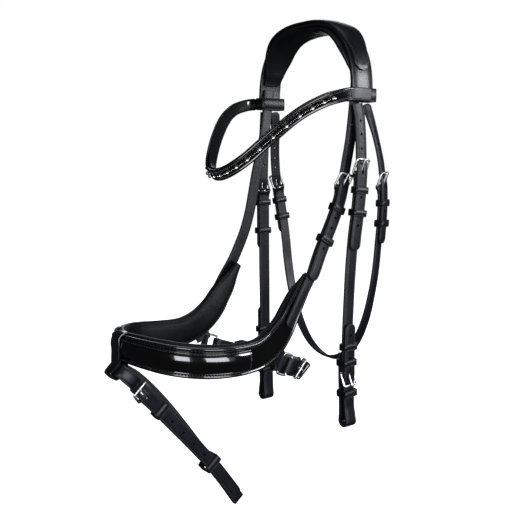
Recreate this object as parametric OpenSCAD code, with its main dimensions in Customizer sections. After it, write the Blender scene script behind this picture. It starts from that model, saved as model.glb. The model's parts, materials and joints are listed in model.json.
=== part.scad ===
// Snaffle bridle with a padded crank noseband and a flash strap.
// Millimetres. X points forward (the way the horse faces), Y to the horse's left (near side), Z up.
// The origin is the seat on the poll: the underside of the headpiece padding, on the middle plane.

/* [Headpiece] */
// Half the distance between the cheek straps
half_span = 82.5; // [76:0.5:92]
// Width of the headpiece leather
crown_w = 33; // [28:1:40]
// Width of the poll overlay
overlay_w = 40; // [34:1:46]
// Thickness of the headpiece padding
pad_t = 7; // [4:0.5:12]

/* [Straps] */
// Width of the cheek straps
cheek_w = 16; // [12:1:20]
// Width of the throatlatch
throat_w = 14; // [12:1:16]
// Width of the flash strap
flash_w = 15; // [12:1:18]
// Thickness of the bridle leather
leather_t = 3; // [2.5:0.1:4]

/* [Noseband] */
// Depth of the noseband at the front
nose_w = 34; // [28:1:42]
// Depth of the raised patent strip
patent_w = 24; // [18:1:28]
// Thickness of the noseband padding
nose_pad_t = 8; // [5:0.5:12]

/* [Metal] */
// Radius of the buckle wire
wire_r = 1.4; // [1.1:0.1:1.8]
// Radius of the eye at the end of each cheekpiece, where the bit ring sits
eye_r = 4.5; // [4:0.5:7]
// Radius of the beads on the browband
bead_r = 2.2; // [1.5:0.1:3]

/* [Hidden] */
$fn = 24;
half_t = leather_t / 2;
lay = half_t + 0.6;
tongue_r = 1.1;

// ---- curves: each control point is [x, y, z, width direction, width, thickness]
function unit(v) = v / norm(v);
function v3(v) = [v[0], v[1], v[2]];
function ctl(P, k) = k < 0 ? 2 * P[0] - P[1] : k > len(P) - 1 ? 2 * P[len(P) - 1] - P[len(P) - 2] : P[k];
function val(P, s) = let (k = max(0, min(floor(s), len(P) - 2)), t = s - k,
    a = ctl(P, k - 1), b = ctl(P, k), c = ctl(P, k + 1), d = ctl(P, k + 2))
    0.5 * (2 * b + (c - a) * t + (2 * a - 5 * b + 4 * c - d) * t * t + (3 * b - a - 3 * c + d) * t * t * t);
function der(P, s) = let (k = max(0, min(floor(s), len(P) - 2)), t = s - k,
    a = ctl(P, k - 1), b = ctl(P, k), c = ctl(P, k + 1), d = ctl(P, k + 2))
    0.5 * (v3(c - a) + 2 * v3(2 * a - 5 * b + 4 * c - d) * t + 3 * v3(3 * b - a - 3 * c + d) * t * t);
function fr(P, s) = let (v = val(P, s), T = unit(der(P, s)), u = [v[3], v[4], v[5]], W = unit(u - (u * T) * T))
    [v3(v), T, W, cross(W, T), v[6], v[7]];
function part(P, a, b, n) = [for (i = [0:n]) val(P, a + (b - a) * i / n)];
function layer(P, d, w, t) = [for (k = [0:len(P) - 1]) let (f = fr(P, k), c = f[0] + d * f[3])
    [c[0], c[1], c[2], P[k][3], P[k][4], P[k][5], w, t]];
function lift(P, d) = [for (k = [0:len(P) - 1]) let (f = fr(P, k), c = f[0] + d * f[3])
    [c[0], c[1], c[2], P[k][3], P[k][4], P[k][5], P[k][6], P[k][7]]];
// a control point taken at s and raised by d along the outward normal, and a run of them
function at(P, s, d) = let (f = fr(P, s), v = val(P, s), c = f[0] + d * f[3]) [c[0], c[1], c[2], v[3], v[4], v[5], v[6], v[7]];
function run(P, a, b, n, d) = [for (i = [0:n]) at(P, a + (b - a) * i / n, d)];
function other(P) = [for (v = P) [v[0], -v[1], v[2], -v[3], v[4], -v[5], v[6], v[7]]];
function back(P) = [for (i = [len(P) - 1:-1:0]) P[i]];
// rounds the last point of a strap into a tip: adds three narrowing stations
function tip(P, e) = let (n = len(P), f = fr(P, n - 1), v = P[n - 1])
    concat(P, [for (q = [[0.35, 0.9], [0.72, 0.62], [0.97, 0.2]]) let (c = f[0] + f[1] * e * q[0])
    [c[0], c[1], c[2], v[3], v[4], v[5], v[6] * q[1], v[7]]]);

flat = [[1, -0.6], [1, 0.6], [0.93, 1], [-0.93, 1], [-1, 0.6], [-1, -0.6], [-0.93, -1], [0.93, -1]];
soft = [[1, -0.25], [0.97, 0.35], [0.85, 0.8], [0.55, 1], [-0.55, 1], [-0.85, 0.8], [-0.97, 0.35], [-1, -0.25],
        [-0.9, -0.75], [-0.6, -1], [0.6, -1], [0.9, -0.75]];

module sweep(P, n = 3, sec = flat) {
    m = len(sec);
    last = n * (len(P) - 1);
    pts = [for (i = [0:last]) let (f = fr(P, i / n)) for (q = sec) f[0] + f[2] * q[0] * f[4] / 2 + f[3] * q[1] * f[5] / 2];
    sides = [for (i = [0:last - 1]) for (j = [0:m - 1]) let (a = i * m + j, b = i * m + (j + 1) % m)
        each [[a, b, b + m], [a, b + m, a + m]]];
    polyhedron(points = pts, faces = concat(sides,
        [[for (j = [m - 1:-1:0]) j]], [[for (j = [0:m - 1]) last * m + j]]), convexity = 6);
}

// puts a fitting on a strap: x across the strap, y along it, z out of its outer face
module on(P, s, d = 0) {
    f = fr(P, s);
    c = f[0] + d * f[3];
    multmatrix([[f[2][0], f[1][0], f[3][0], c[0]], [f[2][1], f[1][1], f[3][1], c[1]],
                [f[2][2], f[1][2], f[3][2], c[2]], [0, 0, 0, 1]]) children();
}

module rounded(a, b, r) {
    square([a - 2 * r, b], center = true);
    square([a, b - 2 * r], center = true);
    for (i = [-1, 1]) for (j = [-1, 1]) translate([i * (a / 2 - r), j * (b / 2 - r)]) circle(r = r);
}

// a leather loop round a stack of straps that runs from z0 to z1
module loop(w, z0, z1, h = 8, t = 1.7) {
    translate([0, -h / 2, (z0 + z1) / 2]) rotate([-90, 0, 0]) linear_extrude(height = h) difference() {
        rounded(w + 2 * t, z1 - z0 + 2 * t, 1.5);
        rounded(w, z1 - z0, 0.5);
    }
}

module bar(len, r) { rotate([0, 90, 0]) cylinder(r = r, h = len, center = true); }

// rectangular wire buckle: lower bar at the origin, upper bar over the billet
bl = 17;
tilt = 22;
module tilted() { rotate([-tilt, 0, 0]) children(); }
module buckle(w) {
    x = w / 2 + wire_r;
    tilted() {
        bar(2 * x, wire_r);
        translate([0, -bl, 0]) bar(2 * x, wire_r);
        for (i = [-1, 1]) {
            translate([i * x, 0, 0]) rotate([90, 0, 0]) cylinder(r = wire_r, h = bl);
            translate([i * x, 0, 0]) sphere(r = wire_r);
            translate([i * x, -bl, 0]) sphere(r = wire_r);
        }
    }
}
module tongue() {
    hub = wire_r + 0.08;
    tilted() difference() {
        union() {
            bar(2.6, hub + 1.1);
            translate([0, 0, hub + 0.75]) rotate([90 - 1.2, 0, 0]) {
                cylinder(r = tongue_r, h = bl + 1.2);
                translate([0, 0, bl + 1.2]) sphere(r = tongue_r);
            }
        }
        bar(4, hub);
    }
}
// folded end of a strap round the lower bar, with the slot the tongue turns in
module fold(w) {
    difference() {
        bar(w, wire_r + 0.15 + 1.6);
        bar(w + 2, wire_r + 0.15);
        translate([-2.2, -20, -6]) cube([4.4, 40, 12]);
    }
}
module hole(r = 1.6) { translate([0, 0, -6]) cylinder(r = r, h = 12); }
module slit() { translate([-1.7, -11.5, -6]) cube([3.4, 13, 12]); }

// ---- headpiece: from the near side over the poll to the far side
crown_half = [[0, half_span, -82.7, -1, 0, 0, crown_w, 4], [0, half_span + 0.3, -70, -1, 0, 0, crown_w, 4],
    [0, 81.6, -54, -1, 0, 0, crown_w, 4], [0, 78.8, -40, -1, 0, 0, crown_w, 4], [0, 73.5, -26.5, -1, 0, 0, crown_w, 4],
    [0, 65.5, -14, -1, 0, 0, crown_w, 4], [0, 55, -3.5, -1, 0, 0, crown_w, 4], [0, 43, 3.5, -1, 0, 0, crown_w, 4],
    [0, 29, 7.4, -1, 0, 0, crown_w, 4], [0, 15, 9, -1, 0, 0, crown_w, 4]];
crown = concat(crown_half, [[0, 0, 9.3, -1, 0, 0, crown_w, 4]],
    [for (i = [len(crown_half) - 1:-1:0]) let (v = crown_half[i]) [v[0], -v[1], v[2], -1, 0, 0, crown_w, 4]]);
module crown_leather() { color("#1b1b20") sweep(crown, 2); }
over_w = [9, 19, 24, 27, 31, 35, 38];
function over(P) = [for (k = [0:len(P) - 1]) let (e = min(k, len(P) - 1 - k))
    [P[k][0], P[k][1], P[k][2], P[k][3], P[k][4], P[k][5], e < 7 ? over_w[e] : overlay_w, 2.4]];
module crown_overlay() { color("#121214") sweep(over(layer(part(crown, 2.3, 17.7, 24), 3.4, overlay_w, 2.4)), 1); }
padw = [27, 31, 33, 36, 39];
function padded_w(P) = [for (k = [0:len(P) - 1]) let (e = min(k, len(P) - 1 - k))
    [P[k][0], P[k][1], P[k][2], P[k][3], P[k][4], P[k][5], e < 5 ? padw[e] : overlay_w + 3, e == 0 ? pad_t * 0.6 : pad_t]];
module crown_pad() {
    color("#2a2a2e") sweep(padded_w(layer(part(crown, 2.1, 17.9, 20), -2.2 - pad_t / 2, crown_w, pad_t)), 1, soft);
}

// ---- browband
bw = 15;
brow_half = [[17.5, 89.2, -76.5, 0, 0, 1, bw, 3], [36, 88, -79.5, 0.3, 0.1, 0.95, bw, 3], [58, 83, -86.5, 0.42, 0.25, 0.86, bw, 3],
    [82, 70.5, -101, 0.6, 0.25, 0.75, bw, 3], [106, 54, -124, 0.66, 0.1, 0.74, bw, 3], [127, 35, -148.5, 0.66, 0.02, 0.74, bw, 3],
    [140, 17, -162.5, 0.62, 0, 0.78, bw, 3]];
brow = concat(brow_half, [[144, 0, -166.5, 0.6, 0, 0.8, bw, 3]], [for (i = [len(brow_half) - 1:-1:0]) let (v = brow_half[i])
    [v[0], -v[1], v[2], v[3], -v[4], v[5], v[6], v[7]]]);
module brow_loop() {
    // the headpiece runs through this loop
    translate([0, half_span - 1.3, -76.5 - bw / 2]) linear_extrude(height = bw) difference() {
        rounded(37.8, 16.8, 3.4);
        rounded(34.8, 13.4, 1.6);
    }
}
module browband_leather() {
    color("#0d0d10") {
        sweep(brow, 4);
        brow_loop();
        mirror([0, 1, 0]) brow_loop();
    }
}
module browband_lining() {
    color("#3a3a40") sweep(layer(part(brow, 1, 13, 12), -3.5, 13.4, 3.4), 3, soft);
}
bead_n = 22;
module browband_chain() {
    color("#c9c4b4") for (k = [0:bead_n]) {
        s = 1.6 + k * 10.8 / bead_n;
        on(brow, s, 1.5 + bead_r * 0.98) sphere(r = bead_r);
        if (k < bead_n) {
            a = fr(brow, s);
            b = fr(brow, s + 10.8 / bead_n);
            p = a[0] + (1.5 + bead_r * 0.98) * a[3];
            d = b[0] + (1.5 + bead_r * 0.98) * b[3] - p;
            translate(p) rotate([0, acos(d[2] / norm(d)), atan2(d[1], d[0])]) cylinder(r = 0.8, h = norm(d));
        }
    }
}

// ---- shared leather work
function rev(P) = [for (i = [len(P) - 1:-1:0]) let (v = P[i]) [v[0], v[1], v[2], -v[3], -v[4], -v[5], v[6], v[7]]];
function wide(P, w, t) = [for (v = P) [v[0], v[1], v[2], v[3], v[4], v[5], w, t]];
piv = -2.6;
// the bit buckle's place, counted from the eye up
bit_s = 2.15;
// outer strap: starts at the hinge line, runs over the buckle bar at sb and ends in a tip at se
module billet(P, s0, sb, se, w, holes, dip = 0.68, n = 9) {
    color("#17171b") difference() {
        union() {
            sweep(tip(concat([P[0]], run(P, s0, sb - dip, 4, 0.3), run(P, sb - 0.05, se, n, lay)), 7), 2);
            on(P, 0) bar(w, half_t);
        }
        for (q = holes) on(P, q, lay) hole();
        on(P, sb, lay) slit();
    }
}
// the same, with a round top end that can turn flat against the headpiece
module round_billet(P, s0, sb, se, w, holes, dip) {
    f = fr(P, 0);
    color("#17171b") difference() {
        union() {
            sweep(tip(concat([at(P, 0, 0)], run(P, s0, sb - dip, 4, 0.3), run(P, sb - 0.05, se, 9, lay)), 7), 2);
            on(P, 0) translate([0, 0, -half_t]) cylinder(r = w / 2 - 0.4, h = leather_t, $fn = 36);
        }
        for (q = holes) on(P, q, lay) hole();
        on(P, sb, lay) slit();
    }
}
// inner strap: folded round the buckle bar at sb, runs on to se
module under(P, sb, se, w, n = 22) {
    color("#17171b") difference() {
        union() {
            difference() {
                sweep(run(P, sb, se, n, -lay), 2);
                on(P, sb, piv) bar(w + 4, wire_r + 0.5);
            }
            on(P, sb, piv) fold(w);
        }
        on(P, sb, piv) translate([-2.2, -8, -3]) cube([4.4, 12.5, 9]);
    }
}
module keep(P, s, w, z0, z1, h = 8) { on(P, s) loop(w, z0, z1, h); }
top0 = -lay - half_t - 0.05;
top1 = lay + half_t + 0.35;

// ---- cheeks: the line between billet and cheekpiece, from the headpiece down to the bit
cw = cheek_w;
lt = leather_t;
near_cheek = [[7, 82.5, -86.75, 1, 0, 0, cw, lt], [4.2, 83.4, -101, 1, 0, 0, cw, lt], [2, 84.2, -128, 1, 0, 0, cw, lt],
    [1.4, 84.6, -158, 1, 0, 0, cw, lt], [3, 84.8, -184, 1, 0, 0, cw, lt], [6, 84.8, -210, 1, 0, 0, cw, lt],
    [10.4, 84.6, -240, 1, 0, 0, cw, lt], [13.6, 84.2, -280, 1, 0, 0, cw, lt], [15.4, 83.8, -322, 1, 0, 0, cw, lt],
    [16.4, 83.4, -363, 1, 0, 0, cw, lt], [15.4, 83, -400, 1, 0, 0, cw, lt], [13.6, 82.6, -430, 1, 0, 0, cw, lt],
    [12.6, 82.4, -455, 1, 0, 0, cw, lt]];
far_cheek = [[7, -82.5, -86.75, -1, 0, 0, cw, lt], [7.4, -83.2, -108, -1, 0, 0, cw, lt], [8.8, -83.8, -135, -1, 0, 0, cw, lt],
    [9.6, -84.2, -168, -1, 0, 0, cw, lt], [9.6, -84.4, -192, -1, 0, 0, cw, lt], [9.4, -84.4, -214, -1, 0, 0, cw, lt],
    [9.2, -84.4, -244, -1, 0, 0, cw, lt], [9, -84.2, -284, -1, 0, 0, cw, lt], [8.4, -84, -326, -1, 0, 0, cw, lt],
    [8, -84, -368, -1, 0, 0, cw, lt], [7.4, -84, -405, -1, 0, 0, cw, lt], [6.6, -84, -437, -1, 0, 0, cw, lt],
    [6, -84, -462, -1, 0, 0, cw, lt]];
module cheekpiece(P, sb) {
    R = rev(P);
    color("#17171b") difference() {
        union() {
            difference() {
                sweep(run(P, sb, 12 - bit_s, 22, -lay), 2);
                on(P, sb, piv) bar(cw + 4, wire_r + 0.5);
                on(R, bit_s, piv) bar(cw + 4, wire_r + 0.5);
            }
            on(P, sb, piv) fold(cw);
            on(R, bit_s, piv) fold(cw);
        }
        on(P, sb, piv) translate([-2.2, -8, -3]) cube([4.4, 12.5, 9]);
        on(R, bit_s, piv) translate([-2.2, -8, -3]) cube([4.4, 12.5, 9]);
    }
}
back_z = -7.5;
// station near the eye: y along the strap from the eye's centre, z out from it
function eye_at(P, y, z) = let (f = fr(P, 12), p = f[0] + y * f[1] + (z - 2.7) * f[3]) [p[0], p[1], p[2], P[12][3], P[12][4], P[12][5], cheek_w, leather_t];
module bit_billet(P) {
    R = rev(P);
    m = eye_r + 1.35;
    color("#17171b") difference() {
        union() {
            sweep(tip(rev(concat(run(P, 8.55, 12.05 - bit_s, 6, lay), run(P, 12.55 - bit_s, 11.2, 3, 0.2), [eye_at(P, -7, 4.2), eye_at(P, 0.6, m)])), 7), 2);
            sweep(concat([for (v = run(P, 9.2, 11.3, 6, back_z)) [v[0], v[1], v[2], v[3], v[4], v[5], cw, lt]], [eye_at(P, -7, -5), eye_at(P, 0.6, -m)]), 2);
            on(P, 12, -2.7) difference() {
                bar(cw - 0.4, eye_r + 3);
                translate([-cw, -20.8, -10]) cube([2 * cw, 20, 20]);
            }
        }
        on(P, 12, -2.7) bar(cw + 4, eye_r);
        for (q = [2.6, 3.0, 3.3]) on(R, q, lay) hole();
        on(R, bit_s, lay) slit();
    }
}

module near_cheek_billet() { billet(near_cheek, 1, 3.25, 6.15, cw, [1.2, 1.75, 2.3, 4.3, 5.5]); }
module near_cheekpiece() { cheekpiece(near_cheek, 3.25); }
module near_bit_billet() { bit_billet(near_cheek); }
module near_cheek_keepers() { color("#101014") {
    keep(near_cheek, 4, cw + 0.8, top0, top1);
    keep(near_cheek, 9.55, cw + 0.8, back_z - half_t - 0.05, top1, 8);
    keep(near_cheek, 10.68, cw + 0.8, back_z - half_t - 0.35, top1, 8);
} }
module near_cheek_buckle() { color("#c8c8c8") on(near_cheek, 3.25, piv) buckle(cw + 1); }
module near_cheek_tongue() { color("#b8b8b8") on(near_cheek, 3.25, piv) tongue(); }
module near_cheek_runner() { color("#101014") keep(near_cheek, 5, cw + 1.4, top0 - 0.6, top1 + 0.3); }
module near_bit_buckle() { color("#c8c8c8") on(rev(near_cheek), bit_s, piv) buckle(cw + 1); }
module near_bit_tongue() { color("#b8b8b8") on(rev(near_cheek), bit_s, piv) tongue(); }
module near_bit_runner() { color("#101014") keep(near_cheek, 9.05, cw + 1.4, top0 - 0.6, top1 + 0.3); }

module far_cheek_billet() { billet(far_cheek, 1, 3.85, 6.35, cw, [1.2, 1.9, 2.6, 5.0, 5.5], 0.72); }
module far_cheekpiece() { cheekpiece(far_cheek, 3.85); }
module far_bit_billet() { bit_billet(far_cheek); }
module far_cheek_keepers() { color("#101014") {
    keep(far_cheek, 4.55, cw + 0.8, top0, top1);
    keep(far_cheek, 9.55, cw + 0.8, back_z - half_t - 0.05, top1, 8);
    keep(far_cheek, 10.68, cw + 0.8, back_z - half_t - 0.35, top1, 8);
} }
module far_cheek_buckle() { color("#c8c8c8") on(far_cheek, 3.85, piv) buckle(cw + 1); }
module far_cheek_tongue() { color("#b8b8b8") on(far_cheek, 3.85, piv) tongue(); }
module far_cheek_runner() { color("#101014") keep(far_cheek, 5.9, cw + 1.4, top0 - 0.6, top1 + 0.3); }
module far_bit_buckle() { color("#c8c8c8") on(rev(far_cheek), bit_s, piv) buckle(cw + 1); }
module far_bit_tongue() { color("#b8b8b8") on(rev(far_cheek), bit_s, piv) tongue(); }
module far_bit_runner() { color("#101014") keep(far_cheek, 9.12, cw + 1.4, top0 - 0.6, top1 + 0.3); }

// ---- throatlatch: one long line from the near root, under the throat, to the far root
tw = throat_w;
near_throat = [[-9.4, 82.6, -91.2, 1, 0, 0, tw, lt], [-12.9, 85.2, -104, 0.97, 0.2, 0, tw, lt], [-19, 88.5, -127, 0.93, 0.36, 0, tw, lt],
    [-24, 91.5, -153, 0.94, 0.34, 0, tw, lt], [-26.2, 92.6, -176, 0.95, 0.3, 0, tw, lt], [-27, 92.8, -196, 0.95, 0.3, 0, tw, lt],
    [-27.2, 92, -218, 0.95, 0.3, 0, tw, lt], [-27, 90, -243, 0.95, 0.28, 0, tw, lt]];
far_throat = [[-9.4, -82.6, -91.2, -1, 0, 0, tw, lt], [-11.8, -84.7, -107, -1, 0, 0, tw, lt], [-14.2, -88.5, -135, -1, 0, 0, tw, lt],
    [-17.6, -91, -160, -1, 0, 0, tw, lt], [-21.6, -92, -182, -1, 0, 0, tw, lt], [-25.6, -91.4, -205, -1, 0, 0, tw, lt],
    [-29.4, -90, -230, -1, 0, 0, tw, lt], [-31.5, -87.5, -256, -1, 0, 0, tw, lt]];
throat_low = [[-26, 87.5, -276, 0.95, 0.26, 0.08, tw, lt], [-25, 82.5, -307, 0.95, 0.22, 0.14, tw, lt], [-24.4, 73, -341, 0.94, 0.14, 0.22, tw, lt],
    [-24.2, 57.5, -371, 0.93, 0.08, 0.3, tw, lt], [-24.2, 36, -392, 0.92, 0, 0.36, tw, lt], [-25, 9, -400.5, 0.92, 0, 0.38, tw, lt],
    [-27, -18, -395.5, 0.93, 0, 0.34, tw, lt], [-29.6, -42, -380.5, 0.95, 0, 0.28, tw, lt], [-32, -62.5, -354, 0.97, 0, 0.2, tw, lt],
    [-33.6, -77, -321, 0.99, 0, 0.1, tw, lt], [-33, -84.5, -286, 1, 0, 0.04, tw, lt]];
throat = concat(near_throat, throat_low, rev(far_throat));
throat_last = len(throat) - 1;
module near_throat_billet() { round_billet(near_throat, 1, 4.2, 6.85, tw, [1.6, 2.2, 2.8, 5.6], 0.8); }
module far_throat_billet() { round_billet(far_throat, 1, 4.1, 6.3, tw, [1.9, 2.4, 2.9, 5.3], 0.78); }
module throatlatch_strap() {
    sb = throat_last - 4.1;
    color("#17171b") difference() {
        union() {
            difference() {
                sweep(run(throat, 4.2, sb, 44, -lay), 2);
                on(throat, 4.2, piv) bar(tw + 4, wire_r + 0.5);
                on(throat, sb, piv) bar(tw + 4, wire_r + 0.5);
            }
            on(throat, 4.2, piv) fold(tw);
            on(throat, sb, piv) fold(tw);
        }
        on(throat, 4.2, piv) translate([-2.2, -8, -3]) cube([4.4, 12.5, 9]);
        on(throat, sb, piv) translate([-2.2, -4.5, -3]) cube([4.4, 12.5, 9]);
    }
}
module throat_keepers() { color("#101014") {
    keep(near_throat, 5.15, tw + 0.8, top0, top1);
    keep(far_throat, 4.85, tw + 0.8, top0, top1);
} }
module near_throat_buckle() { color("#c8c8c8") on(near_throat, 4.2, piv) buckle(tw + 1); }
module near_throat_tongue() { color("#b8b8b8") on(near_throat, 4.2, piv) tongue(); }
module near_throat_runner() { color("#101014") keep(near_throat, 6.2, tw + 1.4, top0 - 0.6, top1 + 0.3); }
module far_throat_buckle() { color("#c8c8c8") on(far_throat, 4.1, piv) buckle(tw + 1); }
module far_throat_tongue() { color("#b8b8b8") on(far_throat, 4.1, piv) tongue(); }
module far_throat_runner() { color("#101014") keep(far_throat, 5.75, tw + 1.4, top0 - 0.6, top1 + 0.3); }

// ---- noseband: from the near cheek pad round the nose to the far cheek pad
nk = nose_w / 34;
nose_half = [[66, 70, -279, 0.83, -0.13, 0.54, 15 * nk, 3], [78.5, 70.5, -297, 0.78, 0, 0.62, 20 * nk, 3], [91, 71.5, -315, 0.72, 0.1, 0.68, 25 * nk, 3],
    [104, 73, -333, 0.64, 0.06, 0.77, 29 * nk, 3], [121, 75.5, -347.5, 0.5, 0, 0.87, 31.5 * nk, 3], [141, 78.5, -356, 0.3, 0.05, 0.95, 32 * nk, 3],
    [163, 80.5, -358, 0.17, 0.08, 0.98, 32.5 * nk, 3], [184, 80.5, -357.5, 0.12, 0.1, 0.98, 33 * nk, 3], [207, 76.5, -356, 0.1, 0.12, 0.98, 33.5 * nk, 3],
    [228, 65.5, -353.5, 0.06, 0.12, 0.98, 33.5 * nk, 3], [244, 48, -351, 0.05, 0.1, 0.99, 33 * nk, 3], [256, 28, -348, 0.04, 0.06, 1, 31.5 * nk, 3],
    [263, 11, -346, 0.04, 0, 1, 30 * nk, 3]];
nose = concat(nose_half, [[265, 0, -345.5, 0.04, 0, 1, 29.5 * nk, 3]], [for (i = [len(nose_half) - 1:-1:0]) let (v = nose_half[i])
    [v[0], -v[1], v[2], v[3], -v[4], v[5], v[6], v[7]]]);
nose_last = len(nose) - 1;
module nose_leather() { color("#141417") sweep(nose, 2); }
function nose_pad(P) = [for (k = [0:len(P) - 1]) let (e = min(k, len(P) - 1 - k))
    [P[k][0], P[k][1], P[k][2], P[k][3], P[k][4], P[k][5], P[k][6] + 2.5, nose_pad_t * (e == 0 ? 0.55 : e == 1 ? 0.8 : 1)]];
module nose_padding() { color("#2a2a2e") sweep(nose_pad(lift(nose, -2.1 - nose_pad_t / 2)), 2, soft); }
module nose_patent() { color("#050507") sweep(wide(run(nose, 5.9, nose_last - 5.9, 28, 3.3), patent_w, 3), 2, soft); }

// straps that carry the noseband; on the near side it buckles, on the far side it is one strap
hw = 15;
near_nose = [[5, 78.2, -60, 1, 0, 0, hw, lt], [6.8, 77.6, -88, 1, 0, 0, hw, lt], [10.2, 76.2, -124, 1, 0, 0, hw, lt], [12.6, 72, -154, 1, 0, 0.05, hw, lt],
    [15.8, 70.2, -177, 0.99, 0, 0.12, hw, lt], [21.5, 70.2, -197, 0.95, 0, 0.3, hw, lt], [31.4, 70.8, -217.5, 0.9, 0, 0.42, hw, lt],
    [44, 71.4, -240, 0.88, 0, 0.46, hw, lt], [53.6, 72, -257, 0.87, 0, 0.5, hw, lt], [64, 72.4, -274, 0.85, 0, 0.53, hw, lt],
    [79, 75.2, -293, 0.8, 0, 0.6, hw, lt], [89, 76.2, -310, 0.77, 0.08, 0.63, hw, lt]];
far_nose = [[5, -78.2, -60, -1, 0, 0, hw, lt], [8, -78, -88, -1, 0, 0, hw, lt], [14.6, -77.6, -124, -1, 0, -0.1, hw, lt],
    [25, -77.4, -161, -0.98, 0, -0.2, hw, lt], [32, -77, -191, -0.97, 0, -0.25, hw, lt], [38, -76.4, -215, -0.95, 0, -0.3, hw, lt],
    [46, -75.6, -237, -0.92, 0, -0.38, hw, lt], [56, -75, -257, -0.88, 0, -0.46, hw, lt], [67, -74.6, -276, -0.85, 0, -0.53, hw, lt],
    [79, -75, -293, -0.8, 0, -0.6, hw, lt], [89, -76.2, -310, -0.77, 0.08, -0.63, hw, lt]];
module near_nose_billet() {
    color("#17171b") difference() {
        union() {
            sweep(tip(concat(part(near_nose, 0, 2, 3), run(near_nose, 2.7, 3.5, 2, 0.1), run(near_nose, 4.15, 7.8, 9, lay), [at(near_nose, 8.4, lay + 1.0), at(near_nose, 8.8, lay + 1.9), at(near_nose, 9.15, lay + 2.4)]), 7), 2);
        }
        for (q = [1.6, 2.2, 2.8, 5.9, 6.4, 7.5]) on(near_nose, q, lay) hole();
        on(near_nose, 4.2, lay) slit();
    }
}
module near_nose_hanger() {
    color("#17171b") difference() {
        union() {
            difference() {
                sweep(tip(concat(run(near_nose, 4.2, 7.8, 9, -lay), [at(near_nose, 8.35, -1.2), at(near_nose, 8.8, 0.1)], wide(run(nose, 0.1, 2.6, 6, 3.6), 13, 3)), 7), 2);
                on(near_nose, 4.2, piv) bar(hw + 4, wire_r + 0.5);
            }
            on(near_nose, 4.2, piv) fold(hw);
        }
        on(near_nose, 4.2, piv) translate([-2.2, -8, -3]) cube([4.4, 12.5, 9]);
    }
}
module far_nose_hanger() { color("#17171b") sweep(tip(far_nose, 7), 3); }
module nose_keepers() { color("#101014") {
    keep(near_nose, 5.4, hw + 0.8, top0, top1);
} }
module nose_buckle() { color("#c8c8c8") on(near_nose, 4.2, piv) buckle(hw + 1); }
module nose_tongue() { color("#b8b8b8") on(near_nose, 4.2, piv) tongue(); }
module nose_runner() { color("#101014") keep(near_nose, 7, hw + 1.4, top0 - 0.6, top1 + 0.3); }

// ---- chin: rings on the lower back corners of the noseband, joined by a buckled strap under the jaw
ring_w = 21;
ring_h = 14;
ring_r = 1.5;
chw = 18;
chin = [[96, 70.5, -377, 0.5, -0.1, -0.85, chw, lt], [86, 69.5, -381, 0.5, -0.1, -0.85, chw, lt], [74, 65.5, -385.5, 0.6, -0.1, -0.78, chw, lt],
    [64.5, 54, -390.5, 0.75, 0, -0.6, chw, lt], [60.5, 36, -394.5, 0.86, 0, -0.5, chw, lt], [58.5, 16, -395.5, 0.9, 0, -0.45, chw, lt],
    [59, -6, -395, 0.9, 0, -0.45, chw, lt], [63, -27, -392.5, 0.86, 0, -0.5, chw, lt], [73, -46, -388.5, 0.8, 0, -0.6, chw, lt],
    [87, -59, -384, 0.74, 0, -0.67, chw, lt], [100, -65.5, -379.5, 0.7, 0, -0.7, chw, lt]];
module ring_frame(g = 0) {
    for (j = [0, 1]) translate([0, -j * ring_h, 0]) bar(ring_w + 2 * ring_r, ring_r + g);
    for (i = [-1, 1]) translate([i * (ring_w / 2 + ring_r), 0, 0]) {
        rotate([90, 0, 0]) cylinder(r = ring_r + g, h = ring_h);
        sphere(r = ring_r + g);
        translate([0, -ring_h, 0]) sphere(r = ring_r + g);
    }
}
module chin_rings() { color("#cfcfcf") {
    on(chin, 0) ring_frame();
    on(rev(chin), 0) ring_frame();
} }
// leather tab: from the lower edge of the noseband to the ring's front bar
function edge(P, s) = let (f = fr(P, s)) f[0] - f[2] * f[4] / 2;
module chin_tab(P, C, out) {
    f = fr(C, 0);
    e = f[0] - ring_h * f[1];
    p = edge(P, 3.5);
    q = edge(P, 4.7);
    m = (p + q) / 2 + out * unit(e - (p + q) / 2);
    w = unit(q - p);
    color("#141417") difference() {
        union() {
            sweep([for (k = [0:2]) let (c = m + (e - m) * k / 2, d = w + (f[2] - w) * k / 2) [c[0], c[1], c[2], d[0], d[1], d[2], 19.6 - 0.4 * k, 3]], 2);
            translate(e) multmatrix([[f[2][0], f[1][0], f[3][0], 0], [f[2][1], f[1][1], f[3][1], 0], [f[2][2], f[1][2], f[3][2], 0], [0, 0, 0, 1]])
                bar(ring_w - 1.4, ring_r + 1.9);
        }
        translate(e) multmatrix([[f[2][0], f[1][0], f[3][0], 0], [f[2][1], f[1][1], f[3][1], 0], [f[2][2], f[1][2], f[3][2], 0], [0, 0, 0, 1]])
            bar(ring_w + 3, ring_r + 0.1);
        on(C, 0) ring_frame(0.15);
    }
}
module chin_tabs() {
    chin_tab(nose, chin, 2.0);
    chin_tab([for (v = rev(nose)) [v[0], v[1], v[2], -v[3], -v[4], -v[5], v[6], v[7]]], rev(chin), 3.7);
}
module ring_eye(w) { difference() { bar(w, ring_r + 1.3 + 1.9); bar(w + 2, ring_r + 1.3); } }
module chin_billet() {
    color("#17171b") difference() {
        union() {
            sweep(tip(concat([at(chin, 0.35, 1.2)], [at(chin, 0.95, 0.3)], run(chin, 1.95, 5.6, 9, lay)), 8), 2);
            on(chin, 0) ring_eye(chw);
        }
        on(chin, 0) bar(chw + 2, ring_r + 1.3);
        for (q = [3.4, 4.1, 4.8]) on(chin, q, lay) hole();
        on(chin, 2, lay) slit();
    }
}
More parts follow.
